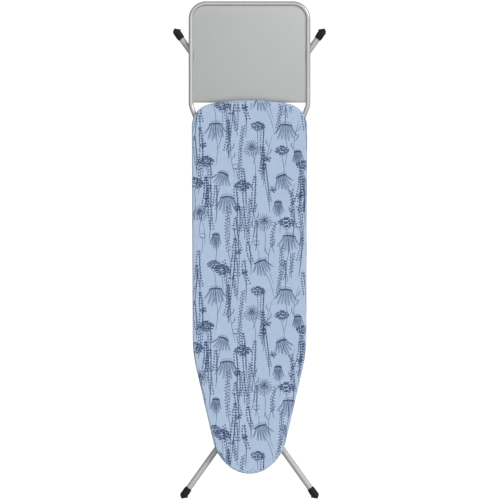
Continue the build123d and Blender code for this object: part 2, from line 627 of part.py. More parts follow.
# ---- mid pivot: bolts through both frames, with spacers and nuts ------------------------
bolts = []
spacers = []
nuts = []
bolt_start = FRONT_X - LEG_DIAMETER / 2
bolt_end = REAR_X + LEG_DIAMETER / 2
for side in (-1, 1):
    with BuildPart() as bolt:
        with BuildSketch(Plane(origin=(side * bolt_start, PIVOT_Y, LEG_Z), z_dir=(side, 0, 0))):
            Circle(PIVOT_DIAMETER / 2)
        extrude(amount=bolt_end - bolt_start + BOLT_TAIL)
        with BuildSketch(Plane(origin=(side * bolt_start, PIVOT_Y, LEG_Z), z_dir=(-side, 0, 0))):
            Circle(BOLT_HEAD_DIAMETER / 2)
        extrude(amount=BOLT_HEAD)
        fillet(bolt.edges().group_by(Axis.X)[0 if side > 0 else -1], BOLT_HEAD_ROUND)
    bolts.append(bolt.part)
    gap_start = side * (FRONT_X + LEG_DIAMETER / 2 + RUNNING_GAP)
    with BuildPart() as spacer:
        with BuildSketch(Plane(origin=(gap_start, PIVOT_Y, LEG_Z), z_dir=(side, 0, 0))):
            Circle(PIVOT_SPACER_DIAMETER / 2)
            Circle(PIVOT_DIAMETER / 2 + RUNNING_GAP, mode=Mode.SUBTRACT)
        extrude(amount=REAR_X - FRONT_X - LEG_DIAMETER - 3 * RUNNING_GAP)
    spacers.append(spacer.part)
    with BuildPart() as nut:
        with BuildSketch(Plane(origin=(side * (bolt_end + NUT_GAP), PIVOT_Y, LEG_Z), z_dir=(side, 0, 0))):
            RegularPolygon(NUT_RADIUS, 6)
            Circle(PIVOT_DIAMETER / 2, mode=Mode.SUBTRACT)
        extrude(amount=NUT_HEIGHT)
        fillet(nut.faces().sort_by(Axis.X)[-1 if side > 0 else 0].outer_wire().edges(), NUT_CHAMFER)
    nuts.append(nut.part)
save_group(bolts, "pivot_bolts")
save_group(spacers, "pivot_spacers")
save_group(nuts, "pivot_nuts")

# ==================================== height latch ======================================
# The toothed rack drops about its shaft onto the sliding crossbar. It is drawn in its
# lowered place and turned up by the latch angle, clear of the crossbar's path.
rod_below = SLIDE_Z - LATCH_Z
notch_radius = CROSSBAR_ROD / 2 + NOTCH_GAP
rack_bottom = rod_below - TOOTH_BELOW_ROD
rack_top = rod_below + notch_radius + RACK_ABOVE_NOTCH
notches = [LAST_NOTCH_Y - LATCH_Y - NOTCH_PITCH * number for number in range(NOTCH_COUNT)]
tooth_start = notches[-1] - NOTCH_PITCH / 2
rack_end = notches[0] + notch_radius + 6.0
latch_angle = degrees(asin((CROSSBAR_ROD / 2 + ROD_CLEARANCE + TOOTH_BELOW_ROD) / tooth_start))
lifted = radians(latch_angle)
rack_plane = Plane(
    origin=(0, LATCH_Y, LATCH_Z),
    x_dir=(0, cos(lifted), sin(lifted)),
    z_dir=(1, 0, 0),
)
hub_radius = SHAFT_DIAMETER / 2 + HUB_WALL
arm_bottom = rod_below + CROSSBAR_ROD / 2 + 1.0
with BuildPart() as latch_rack:
    with BuildSketch(rack_plane):
        with BuildLine():
            Polyline(
                (-hub_radius * 0.5, arm_bottom),
                (tooth_start - 8, arm_bottom),
                (tooth_start, rack_bottom),
                (rack_end, rack_bottom),
                (rack_end, rack_top),
                (tooth_start + 10, rack_top),
                (hub_radius * 0.9, hub_radius * 0.5),
                (-hub_radius * 0.5, hub_radius * 0.5),
                close=True,
            )
        make_face()
        Circle(hub_radius)
        Circle(SHAFT_DIAMETER / 2, mode=Mode.SUBTRACT)
        for place in notches:
            with Locations((place, rod_below)):
                Circle(notch_radius, mode=Mode.SUBTRACT)
            with Locations((place, rod_below - notch_radius)):
                Rectangle(2 * notch_radius, 2 * notch_radius, mode=Mode.SUBTRACT)
    extrude(amount=RACK_THICKNESS / 2, both=True)
save(latch_rack.part, "latch_rack")

# One bent rod is both the rack's shaft and the hand lever at the board's right edge.
lever_points = [
    (-RAIL_X - 9, LATCH_Y, LATCH_Z),
    (RAIL_X + 17, LATCH_Y, LATCH_Z),
    (RAIL_X + 32, LATCH_Y + 60, LATCH_Z - 15),
    (RAIL_X + 58, LATCH_Y + 235, LATCH_Z - 15),
]
save(tube(lever_points, LEVER_BEND_RADII, SHAFT_DIAMETER, wall=0).part, "latch_lever")

lever_end = Vector(*lever_points[-1])
lever_along = (lever_end - Vector(*lever_points[-2])).normalized()
with BuildPart() as lever_grip:
    with BuildSketch(Plane(origin=lever_end + lever_along * GRIP_ROUND, z_dir=-lever_along)):
        Circle(GRIP_DIAMETER / 2)
    extrude(amount=GRIP_LENGTH)
    fillet(lever_grip.edges(), GRIP_ROUND)
    with BuildSketch(Plane(origin=lever_end, z_dir=-lever_along)):
        Circle(SHAFT_DIAMETER / 2)
    extrude(amount=GRIP_LENGTH, mode=Mode.SUBTRACT)
save(lever_grip.part, "lever_grip")

# Torsion spring around the shaft, as the plain sleeve of its coils.
spring_start = -RAIL_X + RAIL_THICKNESS / 2 + 2
spring_end = spring_start + SPRING_LENGTH
spring_bore = SHAFT_DIAMETER + SPRING_GAP
save(rod_x(spring_start, spring_end, LATCH_Y, LATCH_Z, SPRING_DIAMETER, spring_bore).part, "latch_spring")

# ==================================== storage hook ======================================
# Moulded hook whose lip passes under the front legs' catch bar and holds them folded.
bar_away = hypot(MIDDLE_BAR_Y - CATCH_BAR_Y, HOOK_Z - LEG_Z)
lip_inner = bar_away + SPACER_DIAMETER / 2 + HOOK_BAR_GAP
lip_outer = lip_inner + HOOK_LIP
bar_angle = degrees(atan2(LEG_Z - HOOK_Z, CATCH_BAR_Y - MIDDLE_BAR_Y))
arm_angle = bar_angle + HOOK_OPEN_ANGLE
with BuildPart() as storage_hook:
    with BuildSketch(Plane(origin=(0, MIDDLE_BAR_Y, HOOK_Z), x_dir=(0, 1, 0), z_dir=(1, 0, 0))):
        Circle(lip_outer)
        Circle(lip_inner, mode=Mode.SUBTRACT)
        with BuildLine():
            away = 2 * lip_outer
            first, last = radians(arm_angle), radians(arm_angle - HOOK_LIP_SWEEP)
            Polyline(
                (0, 0),
                (away * cos(first), away * sin(first)),
                (away * cos(last), away * sin(last)),
                close=True,
            )
        make_face(mode=Mode.INTERSECT)
        with Locations(Location((0, 0, 0), (0, 0, arm_angle - HOOK_ARM_TURN))):
            with Locations((lip_outer / 2 - 0.3, 0)):
                Rectangle(lip_outer - 1.5, HOOK_ARM_WIDTH)
        Circle(HOOK_HUB_RADIUS)
        Circle(HOOK_PIN / 2 + RUNNING_GAP, mode=Mode.SUBTRACT)
    extrude(amount=HOOK_WIDTH / 2, both=True)
save(storage_hook.part, "storage_hook")

ears = [
    ear(x, HOOK_EAR_THICKNESS, MIDDLE_BAR_Y, HOOK_Z, HOOK_HUB_RADIUS, HOOK_PIN).part
    for x in (-HOOK_WIDTH / 2 - HOOK_EAR_THICKNESS - HOOK_EAR_GAP, HOOK_WIDTH / 2 + HOOK_EAR_GAP)
]
save_group(ears, "hook_ears")
pin_half = HOOK_WIDTH / 2 + HOOK_PIN_END
save(rod_x(-pin_half, pin_half, MIDDLE_BAR_Y, HOOK_Z, HOOK_PIN).part, "hook_pin")
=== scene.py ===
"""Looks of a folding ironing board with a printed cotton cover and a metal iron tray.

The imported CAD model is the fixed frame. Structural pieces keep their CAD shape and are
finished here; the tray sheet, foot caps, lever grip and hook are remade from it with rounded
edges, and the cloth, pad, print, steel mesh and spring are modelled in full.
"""

import json
import logging
import math
import random
from collections.abc import Iterable, Sequence
from dataclasses import dataclass, field
from enum import Enum

import bmesh
import bpy
import numpy as np
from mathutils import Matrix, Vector
from mathutils.kdtree import KDTree

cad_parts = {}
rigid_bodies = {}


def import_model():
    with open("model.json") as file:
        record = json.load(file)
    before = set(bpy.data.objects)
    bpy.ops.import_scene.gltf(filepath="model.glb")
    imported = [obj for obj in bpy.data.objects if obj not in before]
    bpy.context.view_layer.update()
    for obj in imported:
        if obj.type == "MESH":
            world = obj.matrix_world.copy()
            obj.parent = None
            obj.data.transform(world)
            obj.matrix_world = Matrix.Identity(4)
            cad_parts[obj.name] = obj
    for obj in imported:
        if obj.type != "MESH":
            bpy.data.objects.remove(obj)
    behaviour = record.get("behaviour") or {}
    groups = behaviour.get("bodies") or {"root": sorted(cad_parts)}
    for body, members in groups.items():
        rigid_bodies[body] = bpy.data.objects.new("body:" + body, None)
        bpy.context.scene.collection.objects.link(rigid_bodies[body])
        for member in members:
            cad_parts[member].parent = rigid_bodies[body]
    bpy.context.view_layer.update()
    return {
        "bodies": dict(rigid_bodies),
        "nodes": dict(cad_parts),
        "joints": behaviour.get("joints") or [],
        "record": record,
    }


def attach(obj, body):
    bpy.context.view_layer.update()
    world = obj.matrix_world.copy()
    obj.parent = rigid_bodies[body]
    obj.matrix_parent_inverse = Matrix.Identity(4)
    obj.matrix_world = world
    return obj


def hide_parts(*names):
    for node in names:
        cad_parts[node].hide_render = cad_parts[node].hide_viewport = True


log = logging.getLogger("ironing_board")

SEED = 7
TAU = 2 * math.pi
MERGE_DISTANCE = 0.00002


class Body(str, Enum):
    """Moving bodies of the board."""

    BOARD = "board"
    FRONT_LEGS = "front_legs"
    REAR_LEGS = "rear_legs"
    LATCH = "height_latch"
    HOOK = "hook"


class Coat(str, Enum):
    """Ways that a metal piece is coated."""

    PAINT = "paint"
    POWDER = "powder"
    ZINC = "zinc"


# ======================================= bench tools =====================================
def clear_selection() -> None:
    """Deselect everything."""
    for obj in bpy.context.view_layer.objects:
        obj.select_set(False)


def take(obj: bpy.types.Object, *others: bpy.types.Object) -> None:
    """Select these objects only, with the first one active.

    Args:
        obj: Object that becomes active.
        others: Further objects to select with it.
    """
    clear_selection()
    for each in (obj, *others):
        each.select_set(True)
    bpy.context.view_layer.objects.active = obj


def settle(obj: bpy.types.Object, name: str) -> bpy.types.Object:
    """Name a new piece and put its place, turn and scale into its mesh.

    Args:
        obj: The piece as modelled.
        name: Name of the finished piece.

    Returns:
        The same object, at the origin.
    """
    obj.name = name
    obj.data.name = name
    take(obj)
    bpy.ops.object.transform_apply(location=True, rotation=True, scale=True)
    return obj


def apply_modifier(obj: bpy.types.Object, kind: str, **settings: object) -> None:
    """Add a modifier with these settings and apply it at once.

    Args:
        obj: Object to change.
        kind: Modifier type, such as BEVEL.
        settings: Values for the modifier's properties.
    """
    take(obj)
    modifier = obj.modifiers.new(kind.title(), kind)
    for key, value in settings.items():
        setattr(modifier, key, value)
    bpy.ops.object.modifier_apply(modifier=modifier.name)


def smooth(obj: bpy.types.Object, degrees: float = 40.0) -> None:
    """Shade smooth except over edges sharper than an angle."""
    take(obj)
    bpy.ops.object.shade_smooth_by_angle(angle=math.radians(degrees))


def face_outwards(obj: bpy.types.Object, merge: float = 0.0) -> None:
    """Turn every face outwards.

    Args:
        obj: Closed mesh to correct.
        merge: Join points closer than this first, or 0 to join none.
    """
    take(obj)
    bpy.ops.object.mode_set(mode="EDIT")
    bpy.ops.mesh.select_all(action="SELECT")
    if merge:
        bpy.ops.mesh.remove_doubles(threshold=merge)
        bpy.ops.mesh.select_all(action="SELECT")
    bpy.ops.mesh.normals_make_consistent(inside=False)
    bpy.ops.object.mode_set(mode="OBJECT")


def mesh_piece(
    name: str,
    points: np.ndarray,
    faces: Sequence[Sequence[int]],
    uvs: np.ndarray | None = None,
) -> bpy.types.Object:
    """Make a piece from computed points and faces.

    Args:
        name: Name of the piece.
        points: Vertex places, one row each.
        faces: Vertex numbers of each face.
        uvs: Flat cloth place of each vertex, or None.

    Returns:
        The new object, linked to the scene.
    """
    data = bpy.data.meshes.new(name)
    data.from_pydata(points.tolist(), [], [list(face) for face in faces])
    if uvs is not None:
        layer = data.uv_layers.new(name="Cloth")
        corners = np.empty(len(data.loops), dtype=np.int64)
        data.loops.foreach_get("vertex_index", corners)
        layer.data.foreach_set("uv", uvs[corners].astype(np.float32).ravel())
    data.validate()
    obj = bpy.data.objects.new(name, data)
    bpy.context.collection.objects.link(obj)
    return obj


def copy_of_node(node: str, name: str) -> bpy.types.Object:
    """Copy a CAD node's mesh as a clean new piece.

    Args:
        node: CAD node to copy.
        name: Name of the new piece.

    Returns:
        The copy, with doubled points merged and flat faces joined.
    """
    source = bpy.data.objects[node]
    data = source.data.copy()
    data.name = name
    data.materials.clear()
    made = bpy.data.objects.new(name, data)
    bpy.context.collection.objects.link(made)
    shape = bmesh.new()
    shape.from_mesh(data)
    bmesh.ops.remove_doubles(shape, verts=shape.verts, dist=1e-6)
    bmesh.ops.dissolve_limit(shape, angle_limit=math.radians(1.0), verts=shape.verts, edges=shape.edges)
    shape.to_mesh(data)
    shape.free()
    for attribute in list(data.attributes):
        if attribute.name == "custom_normal":
            data.attributes.remove(attribute)
    return made


# ======================================= shader tools ====================================
class Nodes:
    """Short way to add and link shader nodes in one tree."""

    def __init__(self, tree: bpy.types.NodeTree) -> None:
        """Start on a tree."""
        self.tree = tree

    def add(self, kind: str, **settings: object) -> bpy.types.Node:
        """Add a node and set its properties, and its inputs by name or number.

        Args:
            kind: Node type without its ShaderNode prefix.
            settings: Properties by name, and inputs as a dict named inputs.

        Returns:
            The new node.
        """
        prefix = "" if kind.startswith("NodeGroup") else "ShaderNode"
        node = self.tree.nodes.new(prefix + kind)
        inputs = settings.pop("inputs", {})
        for key, value in settings.items():
            setattr(node, key, value)
        for key, value in inputs.items():
            if isinstance(value, bpy.types.NodeSocket):
                self.tree.links.new(value, node.inputs[key])
            else:
                node.inputs[key].default_value = value
        return node

    def math(self, operation: str, first: object, second: object = 0.0) -> bpy.types.NodeSocket:
        """Add a Math node and return its output."""
        return self.add("Math", operation=operation, inputs={0: first, 1: second}).outputs[0]

    def mix(self, factor: object, dark: object, light: object) -> bpy.types.NodeSocket:
        """Mix two colours and return the result."""
        node = self.add("Mix", data_type="RGBA", inputs={0: factor, 6: dark, 7: light})
        return node.outputs[2]

    def scale(self, value: object, low: float, high: float) -> bpy.types.NodeSocket:
        """Map 0 to 1 onto low to high and return the result."""
        return self.add("MapRange", inputs={0: value, 3: low, 4: high}).outputs[0]


def shader_group(
    name: str, inputs: dict[str, tuple[str, float]], outputs: Iterable[str]
) -> tuple[bpy.types.ShaderNodeTree, Nodes, bpy.types.Node, bpy.types.Node]:
    """Make an empty shader group.

    Args:
        name: Name of the group.
        inputs: Socket type suffix and default of each input.
        outputs: Names of the float outputs.

    Returns:
        The group, its node helper, its input node and its output node.
    """
    tree = bpy.data.node_groups.new(name, "ShaderNodeTree")
    for label, (kind, default) in inputs.items():
        socket = tree.interface.new_socket(label, in_out="INPUT", socket_type=f"NodeSocket{kind}")
        if kind == "Float":
            socket.default_value = default
    for label in outputs:
        tree.interface.new_socket(label, in_out="OUTPUT", socket_type="NodeSocketFloat")
    nodes = Nodes(tree)
    return tree, nodes, nodes.add("NodeGroupInput"), nodes.add("NodeGroupOutput")


class Effects:
    """Shader groups that several finishes share."""

    def __init__(self) -> None:
        """Build every group once."""
        self.weave = self._weave()
        self.grain = self._grain()
        self.handling = self._handling()

    @staticmethod
    def _weave() -> bpy.types.ShaderNodeTree:
        """Plain weave: threads that cross over and under each other.

        Returns:
            A group with the height of the threads and their shade, which is low in the hollows between them
            and feeds painted shade.
        """
        tree, nodes, given, made = shader_group(
            "PlainWeave", {"Vector": ("Vector", 0.0), "Pitch": ("Float", 0.0006)}, ("Height", "Shade")
        )
        parts = nodes.add("SeparateXYZ", inputs={0: given.outputs["Vector"]})
        across = nodes.math("DIVIDE", parts.outputs[0], given.outputs["Pitch"])
        along = nodes.math("DIVIDE", parts.outputs[1], given.outputs["Pitch"])
        warp = nodes.math("ABSOLUTE", nodes.math("SINE", nodes.math("MULTIPLY", across, math.pi)))
        weft = nodes.math("ABSOLUTE", nodes.math("SINE", nodes.math("MULTIPLY", along, math.pi)))
        cells = nodes.math("ADD", nodes.math("FLOOR", across), nodes.math("FLOOR", along))
        over = nodes.math("ABSOLUTE", nodes.math("MODULO", cells, 2.0))
        height = nodes.add("Mix", data_type="FLOAT", inputs={0: over, 2: warp, 3: weft}).outputs[0]
        place = given.outputs["Vector"]
        slub = nodes.add("TexNoise", inputs={"Vector": place, "Scale": 900.0, "Detail": 2.0})
        shade = nodes.math("MULTIPLY", height, nodes.scale(slub.outputs[0], 0.75, 1.25))
        nodes.tree.links.new(height, made.inputs["Height"])
        nodes.tree.links.new(shade, made.inputs["Shade"])
        return tree

    @staticmethod
    def _grain() -> bpy.types.ShaderNodeTree:
        """Fine surface grain, such as orange peel in paint or spark texture in a mould.

        Returns:
            A group with the grain's height and a slow cloudy mask.
        """
        tree, nodes, given, made = shader_group(
            "FineGrain", {"Vector": ("Vector", 0.0), "Scale": ("Float", 900.0)}, ("Height", "Cloud")
        )
        vector, scale = given.outputs["Vector"], given.outputs["Scale"]
        fine = nodes.add("TexNoise", inputs={"Vector": vector, "Scale": scale, "Detail": 3.0})
        slow = nodes.add(
            "TexNoise", inputs={"Vector": vector, "Scale": nodes.math("MULTIPLY", scale, 0.02), "Detail": 4.0}
        )
        nodes.tree.links.new(fine.outputs[0], made.inputs["Height"])
        nodes.tree.links.new(slow.outputs[0], made.inputs["Cloud"])
        return tree

    @staticmethod
    def _handling() -> bpy.types.ShaderNodeTree:
        """Marks of handling: faint long rubs and specks.

        Returns:
            A group with a mask of rubs and a mask of specks.
        """
        tree, nodes, given, made = shader_group(
            "Handling", {"Vector": ("Vector", 0.0), "Amount": ("Float", 0.5)}, ("Rubs", "Specks")
        )
        stretched = nodes.add("Mapping", inputs={0: given.outputs["Vector"], 3: (220.0, 9.0, 60.0)})
        streak = nodes.add("TexNoise", inputs={"Vector": stretched.outputs[0], "Scale": 1.0, "Detail": 6.0})
        rubs = nodes.add("MapRange", inputs={0: streak.outputs[0], 1: 0.62, 2: 0.8, 4: 1.0})
        place = given.outputs["Vector"]
        speck = nodes.add("TexNoise", inputs={"Vector": place, "Scale": 420.0, "Detail": 1.0})
        specks = nodes.add("MapRange", inputs={0: speck.outputs[0], 1: 0.74, 2: 0.8, 4: 1.0})
        amount = given.outputs["Amount"]
        nodes.tree.links.new(nodes.math("MULTIPLY", rubs.outputs[0], amount), made.inputs["Rubs"])
        nodes.tree.links.new(nodes.math("MULTIPLY", specks.outputs[0], amount), made.inputs["Specks"])
        return tree


def tint(colour: Sequence[float], factor: float) -> tuple[float, float, float, float]:
    """Scale a colour's brightness and add full alpha."""
    return (*(min(1.0, channel * factor) for channel in colour[:3]), 1.0)


@dataclass(frozen=True)
class Finish:
    """What every finish has: a name, a colour and a roughness."""

    name: str
    colour: tuple[float, float, float]
    roughness: float

    def start(self) -> tuple[bpy.types.Material, Nodes, bpy.types.Node, bpy.types.NodeSocket]:
        """Make the material with its shader.

        Returns:
            The material, its node helper, its shader and the Object coordinates.
        """
        material = bpy.data.materials.new(self.name)
        material.use_nodes = True
        material.diffuse_color = (*self.colour, 1.0)
        material.node_tree.nodes.clear()
        nodes = Nodes(material.node_tree)
        output = nodes.add("OutputMaterial")
        shader = nodes.add("BsdfPrincipled", inputs={"Roughness": self.roughness})
        material.node_tree.links.new(shader.outputs[0], output.inputs[0])
        place = nodes.add("TexCoord").outputs["Object"]
        return material, nodes, shader, place

    @staticmethod
    def bump(
        nodes: Nodes,
        shader: bpy.types.Node,
        height: bpy.types.NodeSocket,
        depth: float,
        strength: float = 1.0,
    ) -> None:
        """Feed a height map to a shader as bump.

        Args:
            nodes: Node helper of the material.
            shader: Its shader.
            height: The height map.
            depth: Depth of the relief.
            strength: Share of it that shows.
        """
        bump = nodes.add("Bump", inputs={"Strength": strength, "Distance": depth, "Height": height})
        nodes.tree.links.new(bump.outputs[0], shader.inputs["Normal"])


@dataclass(frozen=True)
class MetalFinish(Finish):
    """Coated steel: paint, powder coat or zinc plating."""

    coat: Coat = Coat.PAINT
    grain_scale: float = 700.0
    grain_depth: float = 0.00002
    wear: float = 0.5
    rubbed: float = 1.08
    specked: float = 0.72

    def build(self, effects: Effects) -> bpy.types.Material:
        """Build the material.

        Args:
            effects: Shared shader groups.

        Returns:
            The finished material.
        """
        material, nodes, shader, place = self.start()
        link = material.node_tree.links.new
        given = {"Vector": place, "Scale": self.grain_scale}
        grain = nodes.add("Group", node_tree=effects.grain, inputs=given)
        marks = nodes.add("Group", node_tree=effects.handling, inputs={"Vector": place, "Amount": self.wear})
        spread = 0.16 if self.coat is Coat.ZINC else 0.05
        base = nodes.mix(grain.outputs["Cloud"], tint(self.colour, 1 - spread), tint(self.colour, 1 + spread))
        rubbed = nodes.mix(marks.outputs["Rubs"], base, tint(self.colour, self.rubbed))
        specked = nodes.mix(marks.outputs["Specks"], rubbed, tint(self.colour, self.specked))
        link(specked, shader.inputs["Base Color"])
        rough = nodes.scale(grain.outputs["Cloud"], self.roughness - 0.05, self.roughness + 0.07)
        rough = nodes.math("ADD", rough, nodes.math("MULTIPLY", marks.outputs["Rubs"], 0.10))
        link(rough, shader.inputs["Roughness"])
        self.bump(nodes, shader, grain.outputs["Height"], self.grain_depth)
        shader.inputs["Metallic"].default_value = 1.0 if self.coat is Coat.ZINC else 0.35
        if self.coat is Coat.PAINT:
            shader.inputs["Coat Weight"].default_value = 0.25
            shader.inputs["Coat Roughness"].default_value = 0.2
        return material


@dataclass(frozen=True)
class PlasticFinish(Finish):
    """Moulded plastic with a fine spark texture."""

    grain_scale: float = 1600.0
    grain_depth: float = 0.00004
    wear: float = 0.6
    scuffed: float = 2.2

    def build(self, effects: Effects) -> bpy.types.Material:
        """Build the material.

        Args:
            effects: Shared shader groups.

        Returns:
            The finished material.
        """
        material, nodes, shader, place = self.start()
        link = material.node_tree.links.new
        given = {"Vector": place, "Scale": self.grain_scale}
        grain = nodes.add("Group", node_tree=effects.grain, inputs=given)
        marks = nodes.add("Group", node_tree=effects.handling, inputs={"Vector": place, "Amount": self.wear})
        base = nodes.mix(grain.outputs["Cloud"], tint(self.colour, 0.85), tint(self.colour, 1.2))
        scuffed = nodes.mix(marks.outputs["Rubs"], base, tint(self.colour, self.scuffed))
        link(scuffed, shader.inputs["Base Color"])
        rough = nodes.scale(grain.outputs["Height"], self.roughness - 0.08, self.roughness + 0.1)
        link(rough, shader.inputs["Roughness"])
        self.bump(nodes, shader, grain.outputs["Height"], self.grain_depth)
        shader.inputs["Specular IOR Level"].default_value = 0.3
        return material


@dataclass(frozen=True)
class ClothFinish(Finish):
    """Plain-woven cotton, dyed or printed, read along the cloth's own flat map."""

    pitch: float = 0.0006
    depth: float = 0.00012
    mottle: float = 0.05

    def build(self, effects: Effects) -> bpy.types.Material:
        """Build the material.

        Args:
            effects: Shared shader groups.

        Returns:
            The finished material.
        """
        material, nodes, shader, _ = self.start()
        link = material.node_tree.links.new
        flat = nodes.add("UVMap", uv_map="Cloth").outputs[0]
        weave = nodes.add("Group", node_tree=effects.weave, inputs={"Vector": flat, "Pitch": self.pitch})
        cloud = nodes.add("TexNoise", inputs={"Vector": flat, "Scale": 55.0, "Detail": 5.0})
        lo, hi = tint(self.colour, 1 - self.mottle), tint(self.colour, 1 + self.mottle)
        dyed = nodes.mix(nodes.scale(cloud.outputs[0], -0.4, 1.4), lo, hi)
        # Painted shade: the hollows between the threads are darkened towards 0.7 of the colour.
        shaded = nodes.mix(nodes.scale(weave.outputs["Shade"], 0.25, 0.0), dyed, tint(self.colour, 0.7))
        link(shaded, shader.inputs["Base Color"])
        self.bump(nodes, shader, weave.outputs["Height"], self.depth, 0.6)
        shader.inputs["Sheen Weight"].default_value = 0.12
        shader.inputs["Sheen Roughness"].default_value = 0.6
        shader.inputs["Specular IOR Level"].default_value = 0.2
        return material


@dataclass(frozen=True)
class FeltFinish(Finish):
    """Needled felt: a tangle of short fibres with coloured flecks."""

    fibre_scale: float = 1400.0
    depth: float = 0.0004

    def build(self, effects: Effects) -> bpy.types.Material:
        """Build the material.

        Args:
            effects: Shared shader groups.

        Returns:
            The finished material.
        """
        material, nodes, shader, place = self.start()
        link = material.node_tree.links.new
        fibres = nodes.add(
            "TexNoise",
            inputs={"Vector": place, "Scale": self.fibre_scale, "Detail": 4.0, "Distortion": 2.5},
        )
        grain = nodes.add("Group", node_tree=effects.grain, inputs={"Vector": place, "Scale": 300.0})
        base = nodes.mix(fibres.outputs[0], tint(self.colour, 0.75), tint(self.colour, 1.15))
        link(nodes.mix(nodes.scale(grain.outputs["Height"], 0.0, 0.3), base, tint(self.colour, 0.6)),
             shader.inputs["Base Color"])
        self.bump(nodes, shader, fibres.outputs[0], self.depth, 0.8)
        shader.inputs["Sheen Weight"].default_value = 0.3
        return material


class Finishes:
    """Every material of the board, built once."""

    def __init__(self) -> None:
        """Build the shared effects and the materials."""
        effects = Effects()
        self.tray_tube = MetalFinish("TraySilverTube", (0.43, 0.43, 0.425), 0.30).build(effects)
        self.tray_sheet = MetalFinish("TraySilverSheet", (0.378, 0.387, 0.383), 0.45, wear=0.8).build(effects)
        self.legs = MetalFinish(
            "LegPowderCoat", (0.445, 0.445, 0.435), 0.62, coat=Coat.POWDER, grain_scale=1100.0
        ).build(effects)
        self.frame = MetalFinish(
            "FramePowderCoat", (0.42, 0.42, 0.42), 0.5, coat=Coat.POWDER, grain_scale=1100.0
        ).build(effects)
        self.zinc = MetalFinish("BrightZinc", (0.62, 0.62, 0.64), 0.28, coat=Coat.ZINC).build(effects)
        self.pressed_zinc = MetalFinish("DullZinc", (0.50, 0.50, 0.51), 0.42, coat=Coat.ZINC).build(effects)
        self.foot = PlasticFinish("FootBlack", (0.004, 0.004, 0.004), 0.70).build(effects)
        self.black = PlasticFinish("MouldedBlack", (0.028, 0.028, 0.028), 0.45).build(effects)
        self.nylon = PlasticFinish("WhiteNylon", (0.72, 0.71, 0.66), 0.4).build(effects)
        self.cotton = ClothFinish("BlueCotton", (0.388, 0.484, 0.632), 0.85).build(effects)
        self.ink = ClothFinish("NavyInk", (0.050, 0.084, 0.182), 0.85, mottle=0.25).build(effects)
        self.wash = ClothFinish("PaleInk", (0.280, 0.365, 0.508), 0.85, mottle=0.12).build(effects)
        self.thread = ClothFinish("HemThread", (0.62, 0.66, 0.74), 0.8, pitch=0.0002).build(effects)
        self.felt = FeltFinish("NeedledFelt", (0.74, 0.72, 0.66), 0.95).build(effects)
        self.cord = FeltFinish("BraidedCord", (0.80, 0.80, 0.77), 0.9, fibre_scale=2600.0).build(effects)


def dress(obj: bpy.types.Object, material: bpy.types.Material) -> None:
    """Give an object one material, in every slot that it has."""
    if not obj.material_slots:
        obj.data.materials.append(material)
    for slot in obj.material_slots:
        slot.material = material


def complete(
    obj: bpy.types.Object, name: str, material: bpy.types.Material, degrees: float | None = None
) -> bpy.types.Object:
    """Shade, settle and dress a modelled piece.

    Args:
        obj: The piece as modelled.
        name: Its name.
        material: Its finish.
        degrees: Sharpest angle to shade smooth, or None to leave the shading.

    Returns:
        The finished piece.
    """
    if degrees is not None:
        smooth(obj, degrees)
    settle(obj, name)
    dress(obj, material)
    return obj


